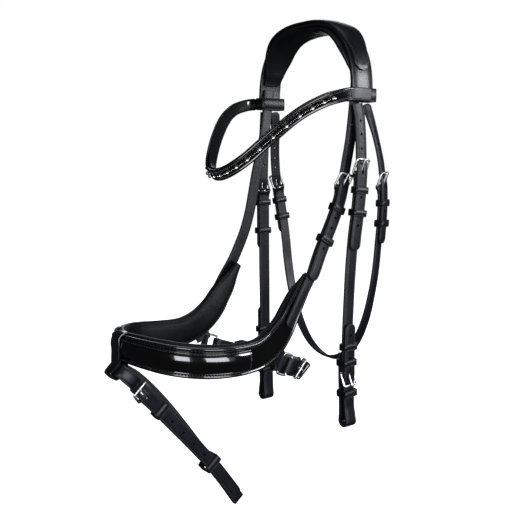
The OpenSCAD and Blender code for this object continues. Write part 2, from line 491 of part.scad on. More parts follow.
module chin_strap() {
    color("#17171b") difference() {
        union() {
            difference() {
                sweep(concat(run(chin, 2, 9.1, 20, -lay), [at(chin, 9.7, -1.6)]), 2);
                on(chin, 2, piv) bar(chw + 4, wire_r + 0.5);
            }
            on(chin, 2, piv) fold(chw);
            on(chin, 10) ring_eye(chw);
        }
        on(chin, 2, piv) translate([-2.2, -8, -3]) cube([4.4, 12.5, 9]);
        on(chin, 10) bar(chw + 2, ring_r + 1.3);
    }
}
module chin_pad() { color("#2a2a2e") sweep(wide(run(chin, 3.12, 8.6, 14, -lay - 1.9 - 3.2), 26, 6), 2, soft); }
module chin_buckle() { color("#c8c8c8") on(chin, 2, piv) buckle(chw + 2.4); }
module chin_tongue() { color("#b8b8b8") on(chin, 2, piv) tongue(); }
module chin_keepers() { color("#101014") keep(chin, 2.75, chw + 1.4, top0 - 0.5, top1 + 0.3, 6); }

// ---- flash strap: hangs from a loop at the front of the noseband and buckles on itself
fw = flash_w;
fl = [0.76, 0, -0.65];
flash = [[262, 8, -378.5, 0.72, 0, -0.7, fw, lt], [252, 6.5, -388.5, 0.74, 0, -0.67, fw, lt], [240, 5, -401.5, 0.76, 0, -0.65, fw, lt], [222, 4, -421, 0.76, 0, -0.65, fw, lt],
    [204, 3.4, -441, 0.76, 0, -0.65, fw, lt], [186, 3, -461, 0.76, 0, -0.65, fw, lt], [168.5, 3, -481, 0.77, 0, -0.64, fw, lt],
    [151, 3, -502, 0.79, 0, -0.62, fw, lt], [134.5, 3, -524, 0.8, 0, -0.6, fw, lt], [115, 3, -551, 0.82, 0, -0.57, fw, lt]];
flash_back = [[132, -4.2, -526, 0.8, 0, -0.6, fw, lt], [151, -4.4, -500.5, 0.79, 0, -0.62, fw, lt], [170, -5, -475.5, 0.78, 0, -0.63, fw, lt], [189, -6.4, -449, 0.77, 0, -0.64, fw, lt],
    [207, -8.4, -424.5, 0.76, 0, -0.65, fw, lt], [227, -10, -400.5, 0.75, 0, -0.66, fw, lt], [245, -11.4, -382.5, 0.73, 0, -0.68, fw, lt],
    [259, -12, -373, 0.72, 0, -0.7, fw, lt], [270, -8.6, -367.1, 0.72, 0, -0.7, fw, lt], [272.2, 0, -366.8, 0.72, 0, -0.7, fw, lt]];
flash_front = [[270.8, 8, -367.8, 0.72, 0, -0.7, fw, lt], [264, 11.4, -375, 0.73, 0, -0.69, fw, lt], [256, 11, -383, 0.74, 0, -0.68, fw, lt]];
module flash_strap() {
    body = run(flash, 2, 8.85, 20, -lay);
    f = fr(flash, 9);
    c = f[0] - 4.7 * f[3];
    color("#17171b") difference() {
        union() {
            difference() {
                sweep(tip(concat(body,
                    [for (a = [60:-60:-60]) let (p = c + 2.6 * (sin(a) * f[3] + cos(a) * f[1])) [p[0], p[1], p[2], 0.8, 0, -0.6, fw, lt]],
                    flash_back, flash_front,
                    [at(flash, 0.8, 0), at(flash, 1.3, 0.1)], run(flash, 1.95, 8.6, 18, lay)), 6), 2);
                on(flash, 2, piv) bar(fw + 4, wire_r + 0.5);
            }
            on(flash, 2, piv) fold(fw);
        }
        on(flash, 2, piv) translate([-2.2, -8, -3]) cube([4.4, 12.5, 9]);
        for (q = [3.7, 4.5, 5.3, 6.1]) on(flash, q, lay) translate([0, 0, 4]) hole();
        on(flash, 2, lay) slit();
    }
}
module flash_keepers() { color("#101014") keep(flash, 2.95, fw + 0.8, top0, top1, 9); }
module flash_buckle() { color("#c8c8c8") on(flash, 2, piv) buckle(fw + 1); }
module flash_tongue() { color("#b8b8b8") on(flash, 2, piv) tongue(); }
module flash_runner() { color("#101014") keep(flash, 6.75, fw + 3.4, -10.5, top1 + 0.4, 9); }
module flash_loop() {
    color("#050507") {
        difference() {
            translate([272, 0, -366.7]) rotate([0, 44, 0]) rotate([90, 0, 0]) translate([0, 0, -7]) linear_extrude(height = 14) difference() {
                rounded(21.4, 13, 3);
                rounded(17.8, 9.4, 2);
            }
            translate([240, -20, -360.5]) cube([30.2, 40, 20]);
        }
        sweep([[262, 0, -328.6, 0, 1, 0, 16, 2.2], [267.6, 0, -329.4, 0, 1, 0, 16, 2.2], [271.6, 0, -333, 0, 1, 0, 16, 2.2], [272.6, 0, -341, 0, 1, 0, 16, 2.2], [272.8, 0, -350, 0, 1, 0, 16, 2.2],
            [273.1, 0, -355.5, 0, 1, 0, 16, 2.2], [273.4, 0, -360.3, 0, 1, 0, 15.2, 2.2]], 2);
    }
}

crown_leather();
crown_overlay();
crown_pad();
browband_leather();
browband_lining();
browband_chain();
near_cheek_billet();
near_cheekpiece();
near_bit_billet();
near_cheek_keepers();
near_cheek_buckle();
near_cheek_tongue();
near_cheek_runner();
near_bit_buckle();
near_bit_tongue();
near_bit_runner();
far_cheek_billet();
far_cheekpiece();
far_bit_billet();
far_cheek_keepers();
far_cheek_buckle();
far_cheek_tongue();
far_cheek_runner();
far_bit_buckle();
far_bit_tongue();
far_bit_runner();
near_throat_billet();
far_throat_billet();
throatlatch_strap();
throat_keepers();
near_throat_buckle();
near_throat_tongue();
near_throat_runner();
far_throat_buckle();
far_throat_tongue();
far_throat_runner();
nose_leather();
nose_padding();
nose_patent();
near_nose_billet();
near_nose_hanger();
far_nose_hanger();
nose_keepers();
nose_buckle();
nose_tongue();
nose_runner();
chin_rings();
chin_tabs();
chin_billet();
chin_strap();
chin_pad();
chin_buckle();
chin_tongue();
chin_keepers();
flash_strap();
flash_keepers();
flash_buckle();
flash_tongue();
flash_runner();
flash_loop();
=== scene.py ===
import json
import math

import bmesh
import bpy
import numpy as np
from mathutils import Matrix, Vector, noise


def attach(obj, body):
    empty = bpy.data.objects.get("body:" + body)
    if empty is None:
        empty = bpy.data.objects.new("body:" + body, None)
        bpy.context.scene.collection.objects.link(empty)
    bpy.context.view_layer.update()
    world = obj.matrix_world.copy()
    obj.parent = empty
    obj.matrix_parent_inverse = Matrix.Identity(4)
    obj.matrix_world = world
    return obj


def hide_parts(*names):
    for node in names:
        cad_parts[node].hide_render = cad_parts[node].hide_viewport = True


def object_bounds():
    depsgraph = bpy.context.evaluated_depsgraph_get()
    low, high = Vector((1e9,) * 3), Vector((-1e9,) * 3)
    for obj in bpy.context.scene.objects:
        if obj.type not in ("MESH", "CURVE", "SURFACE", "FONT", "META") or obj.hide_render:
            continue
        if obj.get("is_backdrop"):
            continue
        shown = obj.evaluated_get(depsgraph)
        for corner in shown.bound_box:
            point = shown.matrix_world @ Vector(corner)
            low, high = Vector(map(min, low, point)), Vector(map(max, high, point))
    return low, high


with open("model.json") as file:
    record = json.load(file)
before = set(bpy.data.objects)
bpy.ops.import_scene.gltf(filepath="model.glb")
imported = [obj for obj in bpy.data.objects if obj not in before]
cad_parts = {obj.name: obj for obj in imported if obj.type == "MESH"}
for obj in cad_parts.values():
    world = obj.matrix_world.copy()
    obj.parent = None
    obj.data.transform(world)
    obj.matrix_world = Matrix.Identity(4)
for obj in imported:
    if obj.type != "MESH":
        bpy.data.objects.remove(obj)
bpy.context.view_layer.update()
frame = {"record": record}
MM = 0.001
BODY = {n: b for b, ns in frame["record"]["behaviour"]["bodies"].items() for n in ns}
LIVE = bpy.context.scene.collection


# ---- camera and light
CAM_LENS, CAM_SENSOR = 52.94, 36.0
CAM_AT, CAM_AZIMUTH, CAM_DOWN = (0.6277, 0.6898, -0.159), 142.0, 6.6
LIGHT_TINT = (0.92, 0.94, 1.0)
FILL_TINT, FILL_STRENGTH = (0.82, 0.89, 1.0, 1), 0.035


def look(obj, at):
    obj.rotation_mode = "QUATERNION"
    obj.rotation_quaternion = (Vector(at) - obj.location).to_track_quat("-Z", "Y")


def softbox(name, where, at, wide, high, watts):
    light = bpy.data.lights.new(name, "AREA")
    light.shape = "RECTANGLE"
    light.size, light.size_y, light.energy = wide, high, watts
    light.color = LIGHT_TINT
    o = bpy.data.objects.new(name, light)
    o.location = where
    LIVE.objects.link(o)
    look(o, at)


cam_data = bpy.data.cameras.new("camera")
cam_data.lens, cam_data.sensor_width = CAM_LENS, CAM_SENSOR
cam = bpy.data.objects.new("camera", cam_data)
LIVE.objects.link(cam)
cam.location = CAM_AT
az, pitch = math.radians(CAM_AZIMUTH), math.radians(CAM_DOWN)
ahead = Vector((-math.sin(az) * math.cos(pitch), math.cos(az) * math.cos(pitch), -math.sin(pitch)))
cam.rotation_mode = "QUATERNION"
cam.rotation_quaternion = ahead.to_track_quat("-Z", "Y")
bpy.context.scene.camera = cam
bpy.context.scene.view_settings.view_transform = "Standard"

world = bpy.data.worlds.new("studio")
world.use_nodes = True
bpy.context.scene.world = world
wt = world.node_tree
wt.nodes.clear()
# the camera sees white, and everything else only a weak fill
out = wt.nodes.new("ShaderNodeOutputWorld")
mixw = wt.nodes.new("ShaderNodeMixShader")
seen = wt.nodes.new("ShaderNodeBackground")
seen.inputs["Color"].default_value = (1, 1, 1, 1)
seen.inputs["Strength"].default_value = 1.0
fill = wt.nodes.new("ShaderNodeBackground")
fill.inputs["Color"].default_value = FILL_TINT
fill.inputs["Strength"].default_value = FILL_STRENGTH
path = wt.nodes.new("ShaderNodeLightPath")
wt.links.new(path.outputs["Is Camera Ray"], mixw.inputs["Fac"])
wt.links.new(fill.outputs[0], mixw.inputs[1])
wt.links.new(seen.outputs[0], mixw.inputs[2])
wt.links.new(mixw.outputs[0], out.inputs["Surface"])

softbox("key_left", (1.32, 1.06, -0.21), (0.25, 0.05, -0.33), 0.72, 0.68, 16)
softbox("key_right", (0.00, 1.66, -0.21), (0.20, 0.08, -0.33), 0.98, 0.68, 22)
softbox("top", (0.2, 0.3, 1.5), (0.05, 0, -0.2), 1.4, 1.4, 6)
softbox("back", (-0.9, -1.3, 0.4), (0, 0, -0.25), 1.0, 1.0, 8)
softbox("satin", (-1.15, 1.22, 0.24), (0, 0.08, -0.04), 0.60, 0.42, 16)


# ---- curves: the same control points as the CAD, in millimetres
# A row is [x, y, z, width direction (3), width, thickness]. strap_path adds the last two to rows without them.
def arr(rows):
    return np.array(rows, float)


def strap_path(w, rows):
    return arr([[*row, w, 3] for row in rows])


def unit(v):
    return v / np.linalg.norm(v)


def ctl(P, k):
    return 2 * P[0] - P[1] if k < 0 else 2 * P[-1] - P[-2] if k > len(P) - 1 else P[k]


def spot(P, s):
    k = max(0, min(int(math.floor(s)), len(P) - 2))
    t = s - k
    a, b, c, d = (ctl(P, k + i) for i in (-1, 0, 1, 2))
    v = 0.5 * (2 * b + (c - a) * t + (2 * a - 5 * b + 4 * c - d) * t * t + (3 * b - a - 3 * c + d) * t ** 3)
    g = 0.5 * ((c - a) + 2 * (2 * a - 5 * b + 4 * c - d) * t + 3 * (3 * b - a - 3 * c + d) * t * t)
    return v, g[:3]


def fr(P, s):
    v, g = spot(P, s)
    T = unit(g)
    u = v[3:6]
    W = unit(u - u.dot(T) * T)
    return v[:3], T, W, np.cross(W, T), v[6], v[7]


def at(P, s, d):
    v, _ = spot(P, s)
    q = v.copy()
    q[:3] = v[:3] + d * fr(P, s)[3]
    return q


def run(P, a, b, n, d):
    return arr([at(P, a + (b - a) * i / n, d) for i in range(n + 1)])


def rev(P):
    Q = P[::-1].copy()
    Q[:, 3:6] *= -1
    return Q


def wide(P, w, t):
    Q = P.copy()
    Q[:, 6], Q[:, 7] = w, t
    return Q


def mirror_half(half, mid):
    back = [[v[0], -v[1], v[2], v[3], -v[4], v[5], v[6], v[7]] for v in half[::-1]]
    return arr(half + mid + back)


def step_s(P, s, mm):
    """The place on P that lies mm further along than s."""
    left, sign = abs(mm), (1 if mm > 0 else -1)
    while left > 1e-6:
        g = np.linalg.norm(spot(P, s)[1])
        q = min(left, 0.5)
        s += sign * q / g
        left -= q
    return s


def length(P, a, b, n=60):
    pts = np.array([spot(P, a + (b - a) * i / n)[0][:3] for i in range(n + 1)])
    return float(np.linalg.norm(np.diff(pts, axis=0), axis=1).sum())


def track(P, a, b, d=0.0, w=None, t=None, step=2.2):
    """Close stations on P from a to b. d, w and t are numbers or functions of the place."""
    n = max(3, int(length(P, a, b) / step))
    rows = []
    for i in range(n + 1):
        s = a + (b - a) * i / n
        q = at(P, s, d(s) if callable(d) else d)
        if w is not None:
            q[6] = w(s) if callable(w) else w
        if t is not None:
            q[7] = t(s) if callable(t) else t
        rows.append(q)
    return arr(rows)


def dense(P, n=6):
    return arr([spot(P, i / n)[0] for i in range(n * (len(P) - 1) + 1)])


def tip(P, e, n=8, power=0.75):
    """Rounds the last end of a strap off over e millimetres."""
    c, T = P[-1][:3], unit(P[-1][:3] - P[-2][:3])
    rows = []
    for i in range(1, n + 1):
        a = i / n * math.pi / 2 * 0.985
        q = P[-1].copy()
        q[:3] = c + T * e * math.sin(a)
        q[6] = P[-1][6] * math.cos(a) ** power
        q[7] = P[-1][7] * (1 - 0.25 * (i / n) ** 3)
        rows.append(q)
    return np.concatenate([P, arr(rows)])


def smooth(x):
    x = max(0.0, min(1.0, x))
    return x * x * (3 - 2 * x)


def frames(L):
    out = []
    for i in range(len(L)):
        a, b = L[max(0, i - 1)][:3], L[min(len(L) - 1, i + 1)][:3]
        T = unit(b - a)
        u = L[i][3:6]
        W = unit(u - u.dot(T) * T)
        out.append((L[i][:3], T, W, np.cross(W, T), L[i][6], L[i][7]))
    return out


# ---- sections: points (across, outward, edge wear) round the outline
def arc(cx, cz, r, a0, a1, n, wear):
    return [(cx + r * math.cos(math.radians(a0 + (a1 - a0) * i / n)),
             cz + r * math.sin(math.radians(a0 + (a1 - a0) * i / n)), wear) for i in range(n + 1)]


def strap_sec(w, t, crease=True):
    """Bridle leather: softened corners and a pressed line inside each edge of the outer face."""
    k = min(1.0, w / 9.0)
    r = min(1.0, t * 0.34) * k
    h, z = w / 2, t / 2
    g = 0.22 if crease and w > 9 else 0.0
    outer = [(h * 0.30, z, 0), (h - 2.5 * k, z - 0.02, 0), (h - 2.15 * k, z - g, 0), (h - 1.8 * k, z - 0.02, 0)]
    corner = arc(h - r, z - r, r, 90, 0, 4, 1)
    lower = arc(h - r, -z + r, r, 0, -90, 3, 0.5)
    right = [(0, z, 0)] + outer + corner + lower + [(h * 0.5, -z, 0)]
    left = [(-x, y, q) for x, y, q in right[::-1][:-1]]
    return right + [(0, -z, 0)] + left


def roll_sec(w, t, roll=1.9):
    """Leather with a rolled, piped edge on both sides."""
    h, z = w / 2, t / 2
    cx = h - roll
    right = [(0, z, 0), (h * 0.5, z, 0), (cx - roll * 1.15, z - 0.15, 0)]
    right += arc(cx, 0.25, roll, 140, -60, 9, 0.6)
    right += [(h * 0.55, -z, 0)]
    left = [(-x, y, q) for x, y, q in right[::-1][:-1]]
    return right + [(0, -z, 0)] + left


def dome_sec(w, t, rise, flat):
    """A padded strip: sewn flat along both edges, swollen in the middle."""
    h, z = w / 2, t / 2
    right = [(h * q, z + rise * max(0.0, 1 - (q * h / (h - flat)) ** 2) ** 0.88, 0)
             for q in (0, 0.12, 0.25, 0.38, 0.5, 0.6, 0.68, 0.74, 0.785)]
    right += [(h - flat * 0.95, z - 0.30, 0), (h - flat * 0.6, z - 0.08, 0)]
    right += arc(h - 0.9, z - 0.9, 0.9, 90, 0, 3, 0.5) + [(h, -z, 0.2)]
    left = [(-x, y, q) for x, y, q in right[::-1][:-1]]
    return right + [(0, -z, 0)] + left


SOFT = [(1, -0.25), (0.97, 0.35), (0.85, 0.8), (0.55, 1), (-0.55, 1), (-0.85, 0.8), (-0.97, 0.35), (-1, -0.25),
        (-0.9, -0.75), (-0.6, -1), (0.6, -1), (0.9, -0.75)]


def soft_sec(w, t, belly=1.0, seam=0.0):
    """A stuffed lining: flat where it meets the leather, full on the side that lies on the horse."""
    pts = []
    n = len(SOFT)
    for j in range(n):
        a, b, c, d = (np.array(SOFT[(j + i) % n]) for i in (-1, 0, 1, 2))
        for q in range(4):
            u = q / 4
            p = 0.5 * (2 * b + (c - a) * u + (2 * a - 5 * b + 4 * c - d) * u * u
                       + (3 * b - a - 3 * c + d) * u ** 3)
            x, z = p[0] * w / 2, p[1] * t / 2
            if p[1] < 0:
                z -= belly * max(0.0, 1 - (p[0] / 0.72) ** 2)
                if seam:
                    z += seam * math.exp(-((abs(p[0]) - 0.80) / 0.05) ** 2)
            pts.append((x, z, 0.0))
    return pts


# ---- mesh parts
class Piece:
    """Collects swept shapes as one mesh. Material 0 is the piece's own, 1 thread, 2 the second material."""

    def __init__(self):
        self.v, self.f, self.w, self.m = [], [], [], []

    def add(self, rings, wear, mat=0, ends=True, loop=False):
        base = len(self.v)
        n, m = len(rings), len(rings[0])
        for r in rings:
            self.v.extend([tuple(p) for p in r])
        self.w.extend(list(wear) * n if len(wear) == m else wear)
        last = n if loop else n - 1
        for i in range(last):
            a0, b0 = base + i * m, base + ((i + 1) % n) * m
            for j in range(m):
                k = (j + 1) % m
                self.f.append((a0 + j, a0 + k, b0 + k, b0 + j))
                self.m.append(mat)
        if ends and not loop:
            self.f.append(tuple(base + j for j in range(m))[::-1])
            self.f.append(tuple(base + (n - 1) * m + j for j in range(m)))
            self.m += [mat, mat]

    def strap(self, L, sec=strap_sec, mat=0, **kw):
        rings, wear = [], None
        for c, T, W, N, w, t in frames(L):
            pts = sec(w, t, **kw)
            rings.append([c + W * x + N * z for x, z, _ in pts])
            wear = [q for _, _, q in pts]
        self.add(rings, wear, mat)

    def tube(self, pts, radii, mat=0, sides=10, loop=False, squash=1.0, up=None):
        pts = [np.array(p, float) for p in pts]
        rings, n = [], len(pts)
        keep = None
        for i, p in enumerate(pts):
            a, b = (pts[i - 1], pts[(i + 1) % n]) if loop else (pts[max(0, i - 1)], pts[min(n - 1, i + 1)])
            T = unit(b - a)
            if up is not None:
                keep = np.array(up, float)
            elif keep is None:
                keep = np.array([0.3, 0.5, 0.81]) if abs(T[2]) < 0.8 else np.array([0.9, 0.3, 0.1])
            A = unit(keep - keep.dot(T) * T)
            if up is None:
                keep = A
            B = np.cross(T, A)
            r = radii[i] if hasattr(radii, "__len__") else radii
            rings.append([p + A * r * squash * math.cos(2 * math.pi * j / sides)
                          + B * r * math.sin(2 * math.pi * j / sides) for j in range(sides)])
        self.add(rings, [0.0] * sides, mat, loop=loop)

    def mesh(self, name):
        me = bpy.data.meshes.new(name)
        me.from_pydata([(x * MM, y * MM, z * MM) for x, y, z in self.v], [], self.f)
        layer_ = me.attributes.new("wear", "FLOAT", "POINT")
        layer_.data.foreach_set("value", np.array(self.w, np.float32))
        me.polygons.foreach_set("material_index", np.array(self.m, np.int32))
        me.polygons.foreach_set("use_smooth", np.ones(len(self.f), bool))
        bm = bmesh.new()
        bm.from_mesh(me)
        bmesh.ops.recalc_face_normals(bm, faces=bm.faces)
        bm.to_mesh(me)
        bm.free()
        me.update()
        return me


def drilled(me, cuts, name):
    """me with holes or slots cut right through it. cuts are (4x4 matrix in mm, radius, half slot length)."""
    hole = Piece()
    for M, r, slot_half in cuts:
        ring = []
        for j in range(20):
            a = 2 * math.pi * j / 20
            ring.append((r * math.cos(a), r * math.sin(a) + (slot_half if math.sin(a) >= 0 else -slot_half)))
        rings = [[(M @ np.array([x, y, z, 1.0]))[:3] for x, y in ring] for z in (-6, 6)]
        hole.add(rings, [1.0] * 20)
    cutter = bpy.data.objects.new(name + "_cut", hole.mesh(name + "_cut"))
    base = bpy.data.objects.new(name + "_base", me)
    LIVE.objects.link(cutter)
    LIVE.objects.link(base)
    mod = base.modifiers.new("cut", "BOOLEAN")
    mod.operation, mod.object, mod.solver = "DIFFERENCE", cutter, "EXACT"
    dg = bpy.context.evaluated_depsgraph_get()
    new = bpy.data.meshes.new_from_object(base.evaluated_get(dg))
    bpy.data.objects.remove(cutter)
    bpy.data.objects.remove(base)
    return new


def finish_piece(node, parts, mats, name=None, angle=38):
    """Joins meshes, gives them their materials and lets them stand for the CAD node."""
    bm = bmesh.new()
    for me in parts:
        bm.from_mesh(me)
    me = bpy.data.meshes.new((name or node) + "_look")
    bm.to_mesh(me)
    bm.free()
    for m in mats:
        me.materials.append(m)
    me.polygons.foreach_set("use_smooth", np.ones(len(me.polygons), bool))
    me.set_sharp_from_angle(angle=math.radians(angle))
    o = bpy.data.objects.new((name or node) + "_look", me)
    LIVE.objects.link(o)
    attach(o, BODY[node])
    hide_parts(node)
    return o


def place(P, s, d=0.0):
    c, T, W, N, _, _ = fr(P, s)
    M = np.eye(4)
    M[:3, 0], M[:3, 1], M[:3, 2], M[:3, 3] = W, T, N, c + d * N
    return M


def shift(M, x, y, z):
    Q = M.copy()
    Q[:3, 3] = M[:3, 3] + M[:3, 0] * x + M[:3, 1] * y + M[:3, 2] * z
    return Q


def to(M, p):
    return (M @ np.array([p[0], p[1], p[2], 1.0]))[:3]


# ---- materials
def tree(name):
    m = bpy.data.materials.new(name)
    m.use_nodes = True
    nt = m.node_tree
    bsdf = nt.nodes["Principled BSDF"]
    return m, nt, bsdf


def nd(nt, kind, **values):
    n = nt.nodes.new(kind)
    for k, v in values.items():
        if k in n.inputs:
            n.inputs[k].default_value = v
        else:
            setattr(n, k, v)
    return n


def leather(name, base, tint, rough, grain, depth, coat=0.0, coat_rough=0.1, spec=0.5, sheen=0.0,
            edge=(0.035, 0.034, 0.036), uneven=0.05, crease_scale=0.0):
    m, nt, b = tree(name)
    L = nt.links.new
    pos = nd(nt, "ShaderNodeTexCoord").outputs["Object"]
    pores = nd(nt, "ShaderNodeTexVoronoi", Scale=grain, Randomness=0.95)
    pores.feature = "SMOOTH_F1"
    L(pos, pores.inputs["Vector"])
    fine = nd(nt, "ShaderNodeTexNoise", Scale=grain * 0.45, Detail=5.0, Roughness=0.62)
    L(pos, fine.inputs["Vector"])
    broad = nd(nt, "ShaderNodeTexNoise", Scale=42.0, Detail=3.0, Roughness=0.5)
    L(pos, broad.inputs["Vector"])
    mix = nd(nt, "ShaderNodeMath", operation="MULTIPLY_ADD")
    L(pores.outputs["Distance"], mix.inputs[0])
    mix.inputs[1].default_value = 0.65
    L(fine.outputs["Fac"], mix.inputs[2])
    height = mix.outputs[0]
    if crease_scale:
        wave = nd(nt, "ShaderNodeTexNoise", Scale=crease_scale, Detail=4.0, Roughness=0.7, Distortion=1.2)
        L(pos, wave.inputs["Vector"])
        more = nd(nt, "ShaderNodeMath", operation="MULTIPLY_ADD")
        L(wave.outputs["Fac"], more.inputs[0])
        more.inputs[1].default_value = 2.2
        L(height, more.inputs[2])
        height = more.outputs[0]
    bump = nd(nt, "ShaderNodeBump", Strength=0.55, Distance=depth)
    L(height, bump.inputs["Height"])
    L(bump.outputs["Normal"], b.inputs["Normal"])
    rr = nd(nt, "ShaderNodeMapRange")
    L(broad.outputs["Fac"], rr.inputs["Value"])
    rr.inputs["From Min"].default_value, rr.inputs["From Max"].default_value = 0.3, 0.7
    rr.inputs["To Min"].default_value, rr.inputs["To Max"].default_value = rough - uneven, rough + uneven
    wear = nd(nt, "ShaderNodeAttribute", attribute_name="wear")
    edge_r = nd(nt, "ShaderNodeMath", operation="MULTIPLY_ADD")
    L(wear.outputs["Fac"], edge_r.inputs[0])
    edge_r.inputs[1].default_value = 0.10
    L(rr.outputs["Result"], edge_r.inputs[2])
    L(edge_r.outputs[0], b.inputs["Roughness"])
    tone = nd(nt, "ShaderNodeMix", data_type="RGBA")
    L(broad.outputs["Fac"], tone.inputs["Factor"])
    tone.inputs["A"].default_value = (*base, 1)
    tone.inputs["B"].default_value = (*tint, 1)
    rub = nd(nt, "ShaderNodeMath", operation="MULTIPLY")
    L(wear.outputs["Fac"], rub.inputs[0])
    L(fine.outputs["Fac"], rub.inputs[1])
    worn = nd(nt, "ShaderNodeMix", data_type="RGBA")
    L(rub.outputs[0], worn.inputs["Factor"])
    L(tone.outputs["Result"], worn.inputs["A"])
    worn.inputs["B"].default_value = (*edge, 1)
    L(worn.outputs["Result"], b.inputs["Base Color"])
    b.inputs["Specular IOR Level"].default_value = spec
    b.inputs["Coat Weight"].default_value = coat
    b.inputs["Coat Roughness"].default_value = coat_rough
    b.inputs["Sheen Weight"].default_value = sheen
    b.inputs["Sheen Roughness"].default_value = 0.4
    return m


def metal(name, base, rough, mark):
    m, nt, b = tree(name)
    L = nt.links.new
    pos = nd(nt, "ShaderNodeTexCoord").outputs["Object"]
    n1 = nd(nt, "ShaderNodeTexNoise", Scale=900.0, Detail=3.0)
    L(pos, n1.inputs["Vector"])
    n2 = nd(nt, "ShaderNodeTexNoise", Scale=130.0, Detail=4.0)
    L(pos, n2.inputs["Vector"])
    rr = nd(nt, "ShaderNodeMapRange")
    L(n2.outputs["Fac"], rr.inputs["Value"])
    rr.inputs["From Min"].default_value, rr.inputs["From Max"].default_value = 0.3, 0.7
    rr.inputs["To Min"].default_value, rr.inputs["To Max"].default_value = rough * 0.7, rough * 1.4
    L(rr.outputs["Result"], b.inputs["Roughness"])
    bump = nd(nt, "ShaderNodeBump", Strength=0.2, Distance=mark)
    L(n1.outputs["Fac"], bump.inputs["Height"])
    L(bump.outputs["Normal"], b.inputs["Normal"])
    tone = nd(nt, "ShaderNodeMix", data_type="RGBA")
    L(n2.outputs["Fac"], tone.inputs["Factor"])
    tone.inputs["A"].default_value = (*base, 1)
    tone.inputs["B"].default_value = (*[c * 0.86 for c in base], 1)
    L(tone.outputs["Result"], b.inputs["Base Color"])
    b.inputs["Metallic"].default_value = 1.0
    return m


def thread(name, base, rough):
    m, nt, b = tree(name)
    L = nt.links.new
    pos = nd(nt, "ShaderNodeTexCoord").outputs["Object"]
    twist = nd(nt, "ShaderNodeTexWave", Scale=900.0, Distortion=1.5)
    L(pos, twist.inputs["Vector"])
    bump = nd(nt, "ShaderNodeBump", Strength=0.5, Distance=0.00012)
    L(twist.outputs["Fac"], bump.inputs["Height"])
    L(bump.outputs["Normal"], b.inputs["Normal"])
    tone = nd(nt, "ShaderNodeMix", data_type="RGBA")
    L(twist.outputs["Fac"], tone.inputs["Factor"])
    tone.inputs["A"].default_value = (*[c * 0.6 for c in base], 1)
    tone.inputs["B"].default_value = (*base, 1)
    L(tone.outputs["Result"], b.inputs["Base Color"])
    b.inputs["Roughness"].default_value = rough
    return m


STRAP = leather("strap_leather", (0.0030, 0.0030, 0.0052), (0.0050, 0.0050, 0.0085), 0.39, 1300.0, 0.00016,
                spec=0.27, edge=(0.020, 0.019, 0.021))
KEEP = leather("keeper_leather", (0.0035, 0.0035, 0.0050), (0.006, 0.006, 0.0085), 0.34, 1300.0, 0.00013,
               spec=0.27, edge=(0.016, 0.016, 0.017))
PATENT = leather("patent_leather", (0.0012, 0.0011, 0.0009), (0.002, 0.0018, 0.0015), 0.16, 500.0, 0.00003,
                 coat=1.0, coat_rough=0.03, spec=0.3, edge=(0.006, 0.006, 0.006), uneven=0.03)
LINING = leather("padded_lining", (0.003, 0.003, 0.0034), (0.006, 0.006, 0.0068), 0.42, 900.0, 0.00028,
                 spec=0.20, edge=(0.014, 0.014, 0.014), crease_scale=95.0)
CROWN = leather("headpiece_leather", (0.003, 0.003, 0.0038), (0.006, 0.006, 0.0076), 0.30, 1100.0, 0.0002,
                spec=0.42, edge=(0.014, 0.014, 0.014))
NICKEL = metal("nickel", (0.72, 0.71, 0.69), 0.38, 0.00002)
BEADS = metal("browband_beads", (0.66, 0.64, 0.60), 0.22, 0.00001)
THREAD = thread("waxed_thread", (0.030, 0.030, 0.034), 0.45)
# grey thread: its light colour is a painted highlight standing for the shine on black stitching
PAINTED_HIGHLIGHT_THREAD = thread("thread_painted_highlight", (0.10, 0.10, 0.10), 0.45)


# ---- shared fittings, in millimetres
# lay: how far each of two stacked straps lies from their middle. piv: depth of a buckle's bar. bl: a buckle's length.
# back_z: depth of the strap behind a bit eye. bit_s: place of the bit buckle on the reversed cheek strap.
# top0, top1: bottom and top of the stack inside a keeper.
half_span, lay, piv, bl, tilt = 82.5, 2.1, -2.6, 17.0, math.radians(22)
wire_r, tongue_r, eye_r, back_z, bit_s = 1.4, 1.1, 4.5, -7.5, 2.15
top0, top1 = -3.65, 3.95


def tilted(M):
    R = np.eye(4)
    c, s = math.cos(-tilt), math.sin(-tilt)
    R[1, 1], R[1, 2], R[2, 1], R[2, 2] = c, -s, s, c
    return M @ R


def round_rect(half_x, y0, y1, r, n=6):
    """Closed rounded rectangle in the plane, from y0 down to y1."""
    pts = []
    for cx, cy, a0 in ((half_x - r, y0 - r, 0), (-half_x + r, y0 - r, 90), (-half_x + r, y1 + r, 180),
                       (half_x - r, y1 + r, 270)):
        for i in range(n + 1):
            a = math.radians(a0 + 90 * i / n)
            pts.append((cx + r * math.cos(a), cy + r * math.sin(a)))
    return pts


def outward(pts, i):
    """The direction out of a closed outline at its point i."""
    d = unit(np.array(pts[(i + 1) % len(pts)]) - np.array(pts[i - 1]))
    return np.array([d[1], -d[0]])


def both_ways(sec):
    """The whole width of a band's section from its first half."""
    return sec + [(-y, z) for y, z in sec[::-1][1:]]


BAND_WEAR = [0.3, 0.8, 0.9, 0.2, 0, 0, 0, 0, 0, 0.2, 0.9, 0.8, 0.3]


def buckle(node, P, s, w):
    M = tilted(place(P, s, piv))
    p = Piece()
    hx = w / 2 + wire_r
    pts = [to(M, (x, y, 0)) for x, y in round_rect(hx, 0.0, -bl, 2.3)]
    p.tube(pts, wire_r, sides=16, loop=True, squash=0.96, up=M[:3, 2])
    finish_piece(node, [p.mesh(node)], [NICKEL], angle=60)


